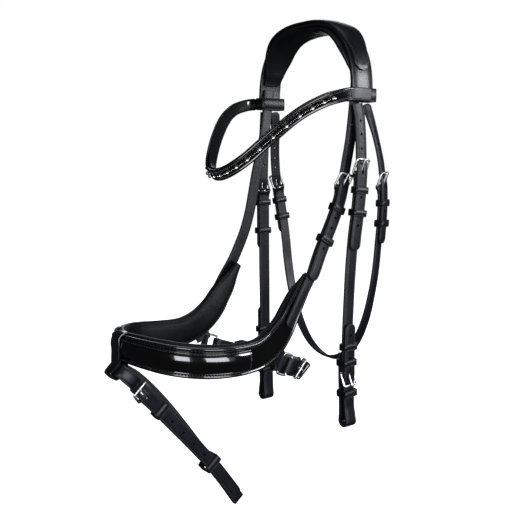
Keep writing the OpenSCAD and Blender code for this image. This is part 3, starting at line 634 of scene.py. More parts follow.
def tongue(node, P, s):
    M = tilted(place(P, s, piv))
    p = Piece()
    hub = wire_r + 0.08
    ring = []
    for i in range(24):
        a = 2 * math.pi * i / 24
        ring.append([to(M, (x, (hub + 0.55 + z) * math.cos(a), (hub + 0.55 + z) * math.sin(a))) for x,
                     z in ((-1.3, -0.35), (-1.1, -0.53), (1.1, -0.53), (1.3, -0.35), (1.3, 0.3), (1.0, 0.53),
                           (-1.0, 0.53), (-1.3, 0.3))])
    p.add(ring, [0.0] * 8, loop=True)
    pts, rad = [], []
    slope = math.radians(1.2)
    for i in range(15):
        y = (bl + 1.2 + tongue_r) * i / 14
        left = bl + 1.2 + tongue_r - y
        r = tongue_r * (1.0 if left > 1.3 else math.sqrt(max(0.02, 1 - (1 - left / 1.3) ** 2)))
        pts.append(to(M, (0, -y * math.cos(slope), hub + 0.75 + y * math.sin(slope))))
        rad.append(r)
    p.tube(pts, rad, sides=12, up=M[:3, 0])
    finish_piece(node, [p.mesh(node)], [NICKEL], angle=60)


def keeper(p, P, s, w, z0, z1, h=8.0, t=1.7):
    """A leather loop round a stack of straps, with a pressed line inside each edge."""
    M = place(P, s)
    hz, cz = (z1 - z0 + t) / 2, (z0 + z1) / 2
    pts = round_rect((w + t) / 2, cz + hz, cz - hz, 1.45, 5)
    rings = []
    sec = both_ways([(-h / 2, -t / 2), (-h / 2, t / 2 - 0.45), (-h / 2 + 0.4, t / 2), (-h / 2 + 1.05, t / 2),
                     (-h / 2 + 1.3, t / 2 - 0.18), (-h / 2 + 1.55, t / 2), (0, t / 2 + 0.12)])
    for i, (px, pz) in enumerate(pts):
        o = outward(pts, i)
        rings.append([to(M, (px + o[0] * z, y, pz + o[1] * z)) for y, z in sec])
    p.add(rings, BAND_WEAR, loop=True)


def keepers(node, *items):
    p = Piece()
    for it in items:
        keeper(p, *it)
    finish_piece(node, [p.mesh(node)], [KEEP], angle=50)


def fold(p, P, s, w, r_bar=wire_r, thick=1.6, gap=2.2, reach=8.0, join=0.5):
    """The strap's end turned round a bar at s, split for the tongue where gap is given."""
    M = place(P, s, piv)
    R = r_bar + 0.15 + thick / 2
    path2 = [(reach, join + 0.75), (reach * 0.55, join + 1.15), (reach * 0.25, R * 0.93), (0, R)]
    path2 += [(-R * math.sin(a), R * math.cos(a)) for a in [math.pi * i / 10 for i in range(1, 10)]]
    path2 += [(0, -R), (reach * 0.25, -R * 0.90), (reach * 0.55, join - 1.2), (reach, join - 0.85)]
    sides = ((gap + (w / 2 - gap) / 2, w / 2 - gap),
             (-gap - (w / 2 - gap) / 2, w / 2 - gap)) if gap else ((0, w),)
    for x, ww in sides:
        rows = [np.concatenate([to(M, (x, y, z)), M[:3, 0], [ww, thick]]) for y, z in path2]
        p.strap(dense(arr(rows), 3), crease=False)


def hole_cut(P, s, d=lay, r=1.6):
    return place(P, s, d), r, 0.0


def slot_cut(P, s):
    """Slot the tongue comes through, long because the tongue passes at a slant."""
    return shift(place(P, s, lay), 0, -5.0, 0), 1.7, 4.8


def stitches(p, P, a, b, x, d, pitch=3.1, size=2.1, r=0.30, mat=1):
    """A row of single stitches on P, x across and d outward. x may change with the place."""
    total = length(P, a, b, 120)
    n = max(2, int(total / pitch))
    for i in range(n):
        s = a + (b - a) * (i + 0.5) / n
        c, T, W, N, _, _ = fr(P, s)
        X = x(s) if callable(x) else x
        D = d(s) if callable(d) else d
        mid = c + W * X + N * D
        h = size / 2
        p.tube([mid - T * h - N * 0.28, mid - T * h * 0.55, mid + N * 0.05, mid + T * h * 0.55,
                mid + T * h - N * 0.28], [r * 0.7, r, r * 1.05, r, r * 0.7], mat, sides=6, up=N)


# ---- headpiece
crown_half = [[0, half_span, -82.7, -1, 0, 0, 33, 4], [0, half_span + 0.3, -70, -1, 0, 0, 33, 4],
              [0, 81.6, -54, -1, 0, 0, 33, 4], [0, 78.8, -40, -1, 0, 0, 33, 4],
              [0, 73.5, -26.5, -1, 0, 0, 33, 4], [0, 65.5, -14, -1, 0, 0, 33, 4],
              [0, 55, -3.5, -1, 0, 0, 33, 4], [0, 43, 3.5, -1, 0, 0, 33, 4], [0, 29, 7.4, -1, 0, 0, 33, 4],
              [0, 15, 9, -1, 0, 0, 33, 4]]
crown = arr(crown_half + [[0, 0, 9.3, -1, 0, 0, 33, 4]]
            + [[v[0], -v[1], v[2], -1, 0, 0, 33, 4] for v in crown_half[::-1]])

p = Piece()
p.strap(track(crown, 0, 20, step=2.5), strap_sec)
finish_piece("crown_leather", [p.mesh("crown_leather")], [CROWN, THREAD])

over_a, over_b = 2.3, 17.7


def crown_end(s, a, b, n):
    """How far s is, in millimetres, from the nearer of the places a and b on the headpiece."""
    return min(length(crown, a, s, n) if s > a else 0.0, length(crown, s, b, n) if s < b else 0.0)


def end_mm(s):
    return crown_end(s, over_a, over_b, 12)


def over_w(s):
    x = end_mm(s)
    tab = 23.5 * math.sqrt(max(0.02, 1 - max(0.0, 1 - x / 11.0) ** 2))
    return tab + (40 - 23.5) * smooth((x - 12) / 46)


def over_d(s):
    return 3.3 - 0.35 * (1 - smooth(end_mm(s) / 6))


def over_sec(w, t):
    return dome_sec(w, t, 0.25 + 1.7 * smooth((w - 23) / 14), min(3.4, w * 0.2))


p = Piece()
L = track(crown, over_a, over_b, over_d, over_w, lambda s: 1.6 + 0.9 * smooth((end_mm(s) - 4) / 20), step=0.9)
p.strap(L, over_sec)
for side in (1, -1):
    stitches(p, crown, over_a + 0.28, over_b - 0.28, lambda s: side * (over_w(s) / 2 - 1.9),
             lambda s: over_d(s) + 0.85 + 0.45 * smooth((end_mm(s) - 4) / 20), pitch=3.0)
finish_piece("crown_overlay", [p.mesh("crown_overlay")], [CROWN, THREAD])

pad_a, pad_b = 2.1, 17.9


def pad_end(s):
    return crown_end(s, pad_a, pad_b, 10)


def ripple(me, amount, scale, seed):
    """Small folds that leather takes over a soft filling."""
    for v in me.vertices:
        q = v.co * scale + Vector((seed, seed * 2, seed * 3))
        v.co += v.normal * (amount * noise.fractal(q, 0.9, 2.1, 3))
    me.update()
    return me


p = Piece()
L = track(crown, pad_a, pad_b, lambda s: -2.2 - (2.2 + 1.3 * smooth(pad_end(s) / 14)),
          lambda s: 25 + 18 * smooth(pad_end(s) / 40), lambda s: 3.6 + 3.2 * smooth(pad_end(s) / 16), step=2.2)
p.strap(L, soft_sec, belly=0.5, seam=0.9)
me = ripple(p.mesh("crown_pad"), 0.00022, 70.0, 3)
o = finish_piece("crown_pad", [me], [LINING, THREAD], angle=80)

# ---- browband
bw = 15
brow_half = [[17.5, 89.2, -76.5, 0, 0, 1, bw, 3], [36, 88, -79.5, 0.3, 0.1, 0.95, bw, 3],
             [58, 83, -86.5, 0.42, 0.25, 0.86, bw, 3], [82, 70.5, -101, 0.6, 0.25, 0.75, bw, 3],
             [106, 54, -124, 0.66, 0.1, 0.74, bw, 3], [127, 35, -148.5, 0.66, 0.02, 0.74, bw, 3],
             [140, 17, -162.5, 0.62, 0, 0.78, bw, 3]]
brow = mirror_half(brow_half, [[144, 0, -166.5, 0.6, 0, 0.8, bw, 3]])


def loop_band(p, sy):
    """The end of the browband taken round the headpiece and sewn down on itself."""
    cy = sy * (half_span - 1.3)
    pts = round_rect(18.15, 7.55, -7.55, 2.6, 6)
    rings = []
    sec = both_ways([(-7.5, -0.7), (-7.5, 0.35), (-7.1, 0.75), (-6.3, 0.75), (-6.0, 0.55), (-5.7, 0.75),
                     (0, 0.85)])
    for i, (px, py) in enumerate(pts):
        o = outward(pts, i)
        rings.append([(px + o[0] * z, cy + py + o[1] * z, -76.5 + y) for y, z in sec])
    p.add(rings, BAND_WEAR, 3, loop=True)


def brow_sec(w, t):
    return roll_sec(w, t, 1.75)


p = Piece()
p.strap(track(brow, 0.12, 13.88, step=2.0), brow_sec)
for sy in (1, -1):
    loop_band(p, sy)
    flap = arr([[24, sy * 90.0, -77.5, 0, 0, sy, 13.4, 1.4], [18, sy * 90.6, -76.7, 0, 0, sy, 13.8, 1.3],
                [10, sy * 90.7, -76.5, 0, 0, sy, 13.8, 1.1], [1, sy * 90.55, -76.5, 0, 0, sy, 13.8, 1.0],
                [-5, sy * 90.4, -76.5, 0, 0, sy, 13.4, 0.9]])
    p.strap(tip(dense(flap, 5), 3.0, 5, 0.4), strap_sec, 3, crease=False)
    stitches(p, flap, 0.9, 4.0, 5.2, 0.62, mat=1)
    stitches(p, flap, 0.9, 4.0, -5.2, 0.62, mat=1)
# the browband's edge stitches use the grey thread whose colour is a painted highlight
for x in (4.15, -4.15):
    stitches(p, brow, 0.35, 13.65, x, 1.5, pitch=3.0, size=1.9, r=0.34, mat=2)
finish_piece("browband_leather", [p.mesh("browband_leather")], [PATENT, THREAD, PAINTED_HIGHLIGHT_THREAD, KEEP])

p = Piece()
L = track(brow, 1.0, 13.0, -3.5, 13.4, lambda s: 2.2 + 1.2 * smooth(min(s - 1.0, 13.0 - s) / 0.5), step=2.0)
p.strap(L, soft_sec, belly=0.4)
o = finish_piece("browband_lining", [ripple(p.mesh("browband_lining"), 0.00012, 90.0, 5)], [LINING], angle=80)

bead_r, bead_n = 2.2, 22
bead_lift = 1.5 + bead_r * 0.98
p = Piece()


def ball(p, c, r, n=10):
    pts = [np.array(c) + np.array([0, 0, r * math.cos(math.pi * (0.02 + 0.96 * i / n))]) for i in range(n + 1)]
    p.tube(pts, [r * math.sin(math.pi * (0.02 + 0.96 * i / n)) for i in range(n + 1)], sides=14, up=(1, 0, 0))


for k in range(bead_n + 1):
    s = 1.6 + k * 10.8 / bead_n
    c, T, W, N, _, _ = fr(brow, s)
    ball(p, c + N * bead_lift, bead_r, 12)
    # a collar each side of the bead, then a run of small beads to the next
    for q in (-1, 1):
        m = c + N * bead_lift + T * q * 2.2
        p.tube([m - T * 0.4, m - T * 0.2, m + T * 0.2, m + T * 0.4], [0.9, 1.25, 1.25, 0.9], sides=14, up=W)
    if k < bead_n:
        e = s + 10.8 / bead_n
        run_mm = length(brow, s, e, 10)
        n = int((run_mm - 5.4) / 1.95)
        for i in range(n):
            c2, _, _, N2, _, _ = fr(brow, s + (e - s) * (2.95 + (run_mm - 5.9) * (i + 0.5) / n) / run_mm)
            ball(p, c2 + N2 * (bead_lift - 0.9), 0.62, 8)
finish_piece("browband_chain", [p.mesh("browband_chain")], [BEADS], angle=70)


# ---- straps
def billet_rise(sb, dip):
    """How far outward a billet lies at each place: it climbs onto the buckle at sb over the length dip."""
    def d(s):
        if s < sb - dip:
            return 0.3 * smooth(s)
        return 0.3 + (lay - 0.3) * smooth((s - (sb - dip)) / (dip - 0.05))
    return d


def billet(node, P, sb, se, w, holes, dip):
    d = billet_rise(sb, dip)
    p = Piece()
    L = track(P, 0.0, se, d, w, 3.0, step=2.0)
    p.strap(tip(L, 7.0))
    me = drilled(p.mesh(node), [hole_cut(P, q, d(q)) for q in holes] + [slot_cut(P, sb)], node)
    finish_piece(node, [me], [STRAP, THREAD])


def under(node, P, sb, se, w, second=None, reach=8.0):
    """The strap below a buckle. second is the place of a fold at its other end, counted on the reversed path."""
    p = Piece()
    a = step_s(P, sb, 5.0)
    b = se if second is None else step_s(P, len(P) - 1 - second, -5.0)
    p.strap(track(P, a, b, -lay, w, 3.0, step=2.2))
    fold(p, P, sb, w)
    if second is not None:
        fold(p, rev(P), second, w)
    # the turned end is sewn down
    for x in (w / 2 - 1.9, -w / 2 + 1.9):
        stitches(p, P, step_s(P, sb, 7), step_s(P, sb, 24), x, -lay + 1.5)
        stitches(p, P, step_s(P, sb, 7), step_s(P, sb, 24), x, -lay - 1.35)
    return p


def eye_at(P, y, z):
    c, T, _, N, _, _ = fr(P, 12)
    return np.concatenate([c + y * T + (z - 2.7) * N, P[12][3:6], [16, 3]])


def bit_billet(node, P):
    """Strap from the bit buckle down, round the eye for the bit ring and up again behind."""
    m = eye_r + 1.5

    def d(s):
        a = smooth((s - (12.05 - bit_s)) / 0.5)
        return lay + (0.2 - lay) * a

    front = track(P, 8.55, 11.3, d, 16, 3, step=2.0)
    turn = [eye_at(P, -9, 4.4)] + [eye_at(P, m * math.sin(math.radians(a)), m * math.cos(math.radians(a)))
                                   for a in range(0, 181, 15)] + [eye_at(P, -9, -5.0)]
    turn = dense(arr([front[-1]] + turn), 2)[1:]
    back = track(P, 11.2, 9.25, back_z, 16, 3, step=2.2)
    L = np.concatenate([tip(front[::-1], 7)[::-1], turn, back])
    p = Piece()
    p.strap(L)
    R = rev(P)
    me = drilled(p.mesh(node),
                 [(place(P, 12 - q, 2.1), 1.6, 0.0) for q in (2.6, 3.0, 3.3)] + [slot_cut(R, bit_s)], node)
    finish_piece(node, [me], [STRAP, THREAD])


cw, tw, hw, fw, chw = 16, 14, 15, 15, 18
near_cheek = strap_path(cw, [[7, 82.5, -86.75, 1, 0, 0], [4.2, 83.4, -101, 1, 0, 0], [2, 84.2, -128, 1, 0, 0],
                  [1.4, 84.6, -158, 1, 0, 0], [3, 84.8, -184, 1, 0, 0], [6, 84.8, -210, 1, 0, 0],
                  [10.4, 84.6, -240, 1, 0, 0], [13.6, 84.2, -280, 1, 0, 0], [15.4, 83.8, -322, 1, 0, 0],
                  [16.4, 83.4, -363, 1, 0, 0], [15.4, 83, -400, 1, 0, 0], [13.6, 82.6, -430, 1, 0, 0],
                  [12.6, 82.4, -455, 1, 0, 0]])
far_cheek = strap_path(cw,
                       [[7, -82.5, -86.75, -1, 0, 0], [7.4, -83.2, -108, -1, 0, 0],
                        [8.8, -83.8, -135, -1, 0, 0], [9.6, -84.2, -168, -1, 0, 0],
                        [9.6, -84.4, -192, -1, 0, 0], [9.4, -84.4, -214, -1, 0, 0],
                        [9.2, -84.4, -244, -1, 0, 0], [9, -84.2, -284, -1, 0, 0], [8.4, -84, -326, -1, 0, 0],
                        [8, -84, -368, -1, 0, 0], [7.4, -84, -405, -1, 0, 0], [6.6, -84, -437, -1, 0, 0],
                        [6, -84, -462, -1, 0, 0]])
for side, P, sb, se, holes, dip, k4, r5, rb in (
        ("near", near_cheek, 3.25, 6.15, [1.2, 1.75, 2.3, 4.3, 5.5], 0.68, 4, 5, 9.05),
        ("far", far_cheek, 3.85, 6.35, [1.2, 1.9, 2.6, 5.0, 5.5], 0.72, 4.55, 5.9, 9.12)):
    billet(side + "_cheek_billet", P, sb, se, cw, holes, dip)
    p = under(side + "_cheekpiece", P, sb, 9.9, cw, second=bit_s)
    finish_piece(side + "_cheekpiece", [p.mesh(side)], [STRAP, THREAD])
    bit_billet(side + "_bit_billet", P)
    keepers(side + "_cheek_keepers", (P, k4, cw + 0.8, top0, top1), (P, 9.55, cw + 0.8, back_z - 1.55, top1),
            (P, 10.68, cw + 0.8, back_z - 1.85, top1))
    buckle(side + "_cheek_buckle", P, sb, cw + 1)
    tongue(side + "_cheek_tongue", P, sb)
    keepers(side + "_cheek_runner", (P, r5, cw + 1.4, top0 - 0.6, top1 + 0.3))
    buckle(side + "_bit_buckle", rev(P), bit_s, cw + 1)
    tongue(side + "_bit_tongue", rev(P), bit_s)
    keepers(side + "_bit_runner", (P, rb, cw + 1.4, top0 - 0.25, top1 + 0.3))

# ---- throatlatch
near_throat = strap_path(tw,
                         [[-9.4, 82.6, -91.2, 1, 0, 0], [-12.9, 85.2, -104, 0.97, 0.2, 0],
                          [-19, 88.5, -127, 0.93, 0.36, 0], [-24, 91.5, -153, 0.94, 0.34, 0],
                          [-26.2, 92.6, -176, 0.95, 0.3, 0], [-27, 92.8, -196, 0.95, 0.3, 0],
                          [-27.2, 92, -218, 0.95, 0.3, 0], [-27, 90, -243, 0.95, 0.28, 0]])
far_throat = strap_path(tw,
                        [[-9.4, -82.6, -91.2, -1, 0, 0], [-11.8, -84.7, -107, -1, 0, 0],
                         [-14.2, -88.5, -135, -1, 0, 0], [-17.6, -91, -160, -1, 0, 0],
                         [-21.6, -92, -182, -1, 0, 0], [-25.6, -91.4, -205, -1, 0, 0],
                         [-29.4, -90, -230, -1, 0, 0], [-31.5, -87.5, -256, -1, 0, 0]])
throat_low = strap_path(tw,
                        [[-26, 87.5, -276, 0.95, 0.26, 0.08], [-25, 82.5, -307, 0.95, 0.22, 0.14],
                         [-24.4, 73, -341, 0.94, 0.14, 0.22], [-24.2, 57.5, -371, 0.93, 0.08, 0.3],
                         [-24.2, 36, -392, 0.92, 0, 0.36], [-25, 9, -400.5, 0.92, 0, 0.38],
                         [-27, -18, -395.5, 0.93, 0, 0.34], [-29.6, -42, -380.5, 0.95, 0, 0.28],
                         [-32, -62.5, -354, 0.97, 0, 0.2], [-33.6, -77, -321, 0.99, 0, 0.1],
                         [-33, -84.5, -286, 1, 0, 0.04]])
throat = np.concatenate([near_throat, throat_low, rev(far_throat)])
last = len(throat) - 1


def throat_billet(node, P, sb, se, holes, dip):
    d = billet_rise(sb, dip)
    p = Piece()
    L = tip(track(P, 0.0, se, d, tw, 3.0, step=2.0), 7)
    head = tip(L[:3][::-1], 5.5, 6)[3:][::-1]
    p.strap(np.concatenate([head, L]))
    me = drilled(p.mesh(node), [hole_cut(P, q, d(q)) for q in holes] + [slot_cut(P, sb)], node)
    finish_piece(node, [me], [STRAP, THREAD])


throat_billet("near_throat_billet", near_throat, 4.2, 6.85, [1.6, 2.2, 2.8, 5.6], 0.8)
throat_billet("far_throat_billet", far_throat, 4.1, 6.3, [1.9, 2.4, 2.9, 5.3], 0.78)
p = Piece()
ta, tb = step_s(throat, 4.2, 5.0), step_s(throat, last - 4.1, -5.0)
p.strap(track(throat, ta, tb, -lay, tw, 3.0, step=2.4))
fold(p, throat, 4.2, tw)
fold(p, rev(throat), 4.1, tw)
for x in (tw / 2 - 1.9, -tw / 2 + 1.9):
    stitches(p, throat, step_s(throat, 4.2, 7), step_s(throat, 4.2, 24), x, -lay - 1.35)
    stitches(p, throat, step_s(throat, last - 4.1, -24), step_s(throat, last - 4.1, -7), x, -lay - 1.35)
finish_piece("throatlatch_strap", [p.mesh("throat")], [STRAP, THREAD])
keepers("throat_keepers", (near_throat, 5.15, tw + 0.8, top0, top1), (far_throat, 4.85, tw + 0.8, top0, top1))
for side, P, sb, runner_s in (("near", near_throat, 4.2, 6.2), ("far", far_throat, 4.1, 5.75)):
    buckle(side + "_throat_buckle", P, sb, tw + 1)
    tongue(side + "_throat_tongue", P, sb)
    keepers(side + "_throat_runner", (P, runner_s, tw + 1.4, top0 - 0.6, top1 + 0.3))

# ---- noseband
nose_half = [[66, 70, -279, 0.83, -0.13, 0.54, 15, 3], [78.5, 70.5, -297, 0.78, 0, 0.62, 20, 3],
             [91, 71.5, -315, 0.72, 0.1, 0.68, 25, 3], [104, 73, -333, 0.64, 0.06, 0.77, 29, 3],
             [121, 75.5, -347.5, 0.5, 0, 0.87, 31.5, 3], [141, 78.5, -356, 0.3, 0.05, 0.95, 32, 3],
             [163, 80.5, -358, 0.17, 0.08, 0.98, 32.5, 3], [184, 80.5, -357.5, 0.12, 0.1, 0.98, 33, 3],
             [207, 76.5, -356, 0.1, 0.12, 0.98, 33.5, 3], [228, 65.5, -353.5, 0.06, 0.12, 0.98, 33.5, 3],
             [244, 48, -351, 0.05, 0.1, 0.99, 33, 3], [256, 28, -348, 0.04, 0.06, 1, 31.5, 3],
             [263, 11, -346, 0.04, 0, 1, 30, 3]]
nose = mirror_half(nose_half, [[265, 0, -345.5, 0.04, 0, 1, 29.5, 3]])
nl = len(nose) - 1
p = Piece()
p.strap(track(nose, 0.0, nl, step=2.2), roll_sec)
for side in (1, -1):
    stitches(p, nose, 0.5, nl - 0.5, lambda s: side * (fr(nose, s)[4] / 2 - 3.6), 1.5, pitch=3.2)
finish_piece("nose_leather", [p.mesh("nose_leather")], [PATENT, THREAD])


def nose_end(s):
    return min(s, nl - s)


p = Piece()
L = track(nose, 0.0, nl, lambda s: -2.1 - 4.0,
          lambda s: (fr(nose, s)[4] + 2.5) * (0.55 + 0.45 * smooth(nose_end(s) / 1.5)),
          lambda s: 8.0 * (0.5 + 0.5 * smooth(nose_end(s) / 1.7)), step=1.6)
p.strap(L, soft_sec, belly=0.8, seam=1.0)
for x_side in (1, -1):
    stitches(p, nose, 0.8, nl - 0.8, lambda s: x_side * (fr(nose, s)[4] + 2.5) / 2 * 0.80, lambda s: -2.1 - 7.2,
             pitch=3.4)
o = finish_piece("nose_padding", [ripple(p.mesh("nose_padding"), 0.00028, 55.0, 7)], [LINING, THREAD], angle=80)

pa, pb = 5.9, nl - 5.9
p = Piece()


def nose_patent_sec(w, t):
    return dome_sec(w, t, 2.3, 2.6)


p.strap(track(nose, pa, pb, 3.3, 24, 3.0, step=1.8), nose_patent_sec)
for x in (10.6, -10.6):
    stitches(p, nose, pa + 0.1, pb - 0.1, x, 4.62, pitch=2.6, size=1.9, r=0.33)
for s in (pa + 0.06, pb - 0.06):
    M = place(nose, s, 3.3)
    seam = [to(M, (x, 0, z + 0.12)) for x, z, _ in nose_patent_sec(24, 3.0) if z > 0.9 and abs(x) < 11.2]
    p.tube(seam, 0.42, 1, sides=8)
finish_piece("nose_patent", [p.mesh("nose_patent")], [PATENT, THREAD])

near_nose = strap_path(hw,
                       [[5, 78.2, -60, 1, 0, 0], [6.8, 77.6, -88, 1, 0, 0], [10.2, 76.2, -124, 1, 0, 0],
                        [12.6, 72, -154, 1, 0, 0.05], [15.8, 70.2, -177, 0.99, 0, 0.12],
                        [21.5, 70.2, -197, 0.95, 0, 0.3], [31.4, 70.8, -217.5, 0.9, 0, 0.42],
                        [44, 71.4, -240, 0.88, 0, 0.46], [53.6, 72, -257, 0.87, 0, 0.5],
                        [64, 72.4, -274, 0.85, 0, 0.53], [79, 75.2, -293, 0.8, 0, 0.6],
                        [89, 76.2, -310, 0.77, 0.08, 0.63]])
far_nose = strap_path(hw,
                      [[5, -78.2, -60, -1, 0, 0], [8, -78, -88, -1, 0, 0], [14.6, -77.6, -124, -1, 0, -0.1],
                       [25, -77.4, -161, -0.98, 0, -0.2], [32, -77, -191, -0.97, 0, -0.25],
                       [38, -76.4, -215, -0.95, 0, -0.3], [46, -75.6, -237, -0.92, 0, -0.38],
                       [56, -75, -257, -0.88, 0, -0.46], [67, -74.6, -276, -0.85, 0, -0.53],
                       [79, -75, -293, -0.8, 0, -0.6], [89, -76.2, -310, -0.77, 0.08, -0.63]])


def nose_d(s):
    if s < 3.5:
        return 0.1 * smooth((s - 2.0) / 0.7)
    if s < 4.15:
        return 0.1 + (lay - 0.1) * smooth((s - 3.5) / 0.65)
    return lay + 2.4 * smooth((s - 7.7) / 1.5)


p = Piece()
p.strap(tip(track(near_nose, 0.0, 9.15, nose_d, hw, 3.0, step=2.0), 7))
me = drilled(p.mesh("nb"),
             [hole_cut(near_nose, q, nose_d(q)) for q in (1.6, 2.2, 2.8, 5.9, 6.4, 7.5)]
             + [slot_cut(near_nose, 4.2)], "nb")
finish_piece("near_nose_billet", [me], [STRAP, THREAD])

p = Piece()
a = step_s(near_nose, 4.2, 5.0)
rows = np.concatenate([run(near_nose, a, 7.8, 12, -lay),
                       arr([at(near_nose, 8.35, -1.2), at(near_nose, 8.8, 0.1)]),
                       wide(run(nose, 0.1, 2.6, 6, 3.6), 13, 3)])
p.strap(tip(dense(rows, 5), 7))
fold(p, near_nose, 4.2, hw)
for x in (4.6, -4.6):
    stitches(p, nose, 0.2, 2.6, x, 5.05)
finish_piece("near_nose_hanger", [p.mesh("nh")], [STRAP, THREAD])
p = Piece()
p.strap(tip(track(far_nose, 0.0, len(far_nose) - 1, 0.0, hw, 3.0), 7))
for x in (5.4, -5.4):
    stitches(p, far_nose, 8.3, 10.0, x, 1.5)
finish_piece("far_nose_hanger", [p.mesh("fh")], [STRAP, THREAD])
keepers("nose_keepers", (near_nose, 5.4, hw + 0.8, top0, top1))
buckle("nose_buckle", near_nose, 4.2, hw + 1)
tongue("nose_tongue", near_nose, 4.2)
keepers("nose_runner", (near_nose, 7, hw + 1.4, top0 - 0.6, top1 + 0.3))

# ---- chin
ring_w, ring_h, ring_r = 21, 14, 1.5
chin = strap_path(chw,
                  [[96, 70.5, -377, 0.5, -0.1, -0.85], [86, 69.5, -381, 0.5, -0.1, -0.85],
                   [74, 65.5, -385.5, 0.6, -0.1, -0.78], [64.5, 54, -390.5, 0.75, 0, -0.6],
                   [60.5, 36, -394.5, 0.86, 0, -0.5], [58.5, 16, -395.5, 0.9, 0, -0.45],
                   [59, -6, -395, 0.9, 0, -0.45], [63, -27, -392.5, 0.86, 0, -0.5],
                   [73, -46, -388.5, 0.8, 0, -0.6], [87, -59, -384, 0.74, 0, -0.67],
                   [100, -65.5, -379.5, 0.7, 0, -0.7]])
p = Piece()
for C in (chin, rev(chin)):
    M = place(C, 0)
    p.tube([to(M, (x, y, 0)) for x, y in round_rect(ring_w / 2 + ring_r, 0.0, -ring_h, 2.2)], ring_r, sides=16,
           loop=True, up=M[:3, 2])
finish_piece("chin_rings", [p.mesh("rings")], [NICKEL], angle=60)


def under_edge(P, s):
    c, _, W, _, w, _ = fr(P, s)
    return c - W * w / 2


def wrap(p, M, w, r_bar, thick, toward, reach):
    """Leather taken round a plain bar; toward is the direction (y, z) it leaves in."""
    R = r_bar + 0.1 + thick / 2
    base = math.atan2(toward[1], toward[0])
    path2 = []
    for i in range(15):
        a = base + math.radians(62) + math.radians(236) * i / 14
        path2.append((R * math.cos(a), R * math.sin(a)))
    far_ = (math.cos(base) * reach, math.sin(base) * reach)
    off = (-math.sin(base) * 0.8, math.cos(base) * 0.8)
    path2 = [(far_[0] + off[0], far_[1] + off[1])] + path2 + [(far_[0] - off[0], far_[1] - off[1])]
    rows = [np.concatenate([to(M, (0, y, z)), M[:3, 0], [w, thick]]) for y, z in path2]
    p.strap(dense(arr(rows), 2), crease=False)


p = Piece()
for P, C, gap in ((nose, chin, 2.0), (arr(nose[::-1]), rev(chin), 3.7)):
    lower = [under_edge(P, 3.5), under_edge(P, 4.7)]
    f = fr(C, 0)
    e = f[0] - ring_h * f[1]
    mid = (lower[0] + lower[1]) / 2
    m = mid + gap * unit(e - mid)
    w_dir = unit(lower[1] - lower[0])
    if w_dir.dot(f[2]) < 0:
        w_dir = -w_dir
    rows = []
    for k in range(3):
        c = m + (e - m) * k / 2
        d_ = w_dir + (f[2] - w_dir) * k / 2
        rows.append([*c, *d_, 19.6 - 0.4 * k, 3])
    L = dense(arr(rows), 5)
    keep_n = [q for q in L if np.linalg.norm(q[:3] - e) > 2.6]
    p.strap(arr(keep_n))
    M = np.eye(4)
    M[:3, 0], M[:3, 1], M[:3, 2], M[:3, 3] = f[2], f[1], f[3], e
    v = m - e
    wrap(p, M, 19, ring_r, 1.6, (v.dot(f[1]), v.dot(f[3])), 4.5)
finish_piece("chin_tabs", [p.mesh("tabs")], [STRAP, THREAD])


def chin_d(s):
    if s < 0.95:
        return 1.2 + (0.3 - 1.2) * smooth((s - 0.35) / 0.6)
    return 0.3 + (lay - 0.3) * smooth((s - 0.95) / 1.0)


p = Piece()
p.strap(tip(track(chin, 0.34, 5.6, chin_d, chw, 3.0, step=1.8), 8))
me = drilled(p.mesh("cb"), [hole_cut(chin, q, chin_d(q)) for q in (3.4, 4.1, 4.8)] + [slot_cut(chin, 2)], "cb")
q = Piece()
wrap(q, place(chin, 0), chw, ring_r + 1.25, 1.7, (1.0, 0.2), 5.5)
finish_piece("chin_billet", [me, q.mesh("cbw")], [STRAP, THREAD])
p = Piece()
p.strap(np.concatenate([track(chin, step_s(chin, 2, 5.0), 9.1, -lay, chw, 3.0, step=1.8),
                        arr([at(chin, 9.4, -1.8), at(chin, 9.66, -1.4)])]))
fold(p, chin, 2, chw)
wrap(p, place(chin, 10), chw, ring_r + 1.25, 1.7, (-1.0, -0.2), 5.5)
finish_piece("chin_strap", [p.mesh("cs")], [STRAP, THREAD])
p = Piece()
L = track(chin, 3.12, 8.6, -lay - 1.9 - 3.2,
          lambda s: 26 * (0.72 + 0.28 * smooth(min(s - 3.12, 8.6 - s) / 0.5)),
          lambda s: 6 * (0.6 + 0.4 * smooth(min(s - 3.12, 8.6 - s) / 0.4)), step=1.8)
p.strap(L, soft_sec, belly=0.5, seam=0.6)
o = finish_piece("chin_pad", [ripple(p.mesh("chin_pad"), 0.0002, 60.0, 9)], [LINING, THREAD], angle=80)
buckle("chin_buckle", chin, 2, chw + 2.4)
tongue("chin_tongue", chin, 2)
keepers("chin_keepers", (chin, 2.75, chw + 1.4, top0 - 0.5, top1 + 0.3, 6.0))

# ---- flash strap
flash = strap_path(fw,
                   [[262, 8, -378.5, 0.72, 0, -0.7], [252, 6.5, -388.5, 0.74, 0, -0.67],
                    [240, 5, -401.5, 0.76, 0, -0.65], [222, 4, -421, 0.76, 0, -0.65],
                    [204, 3.4, -441, 0.76, 0, -0.65], [186, 3, -461, 0.76, 0, -0.65],
                    [168.5, 3, -481, 0.77, 0, -0.64], [151, 3, -502, 0.79, 0, -0.62],
                    [134.5, 3, -524, 0.8, 0, -0.6], [115, 3, -551, 0.82, 0, -0.57]])
flash_back = strap_path(fw,
                        [[132, -4.2, -526, 0.8, 0, -0.6], [151, -4.4, -500.5, 0.79, 0, -0.62],
                         [170, -5, -475.5, 0.78, 0, -0.63], [189, -6.4, -449, 0.77, 0, -0.64],
                         [207, -8.4, -424.5, 0.76, 0, -0.65], [227, -10, -400.5, 0.75, 0, -0.66],
                         [245, -11.4, -382.5, 0.73, 0, -0.68], [259, -12, -373, 0.72, 0, -0.7],
                         [270, -8.6, -367.1, 0.72, 0, -0.7], [272.2, 0, -366.8, 0.72, 0, -0.7]])
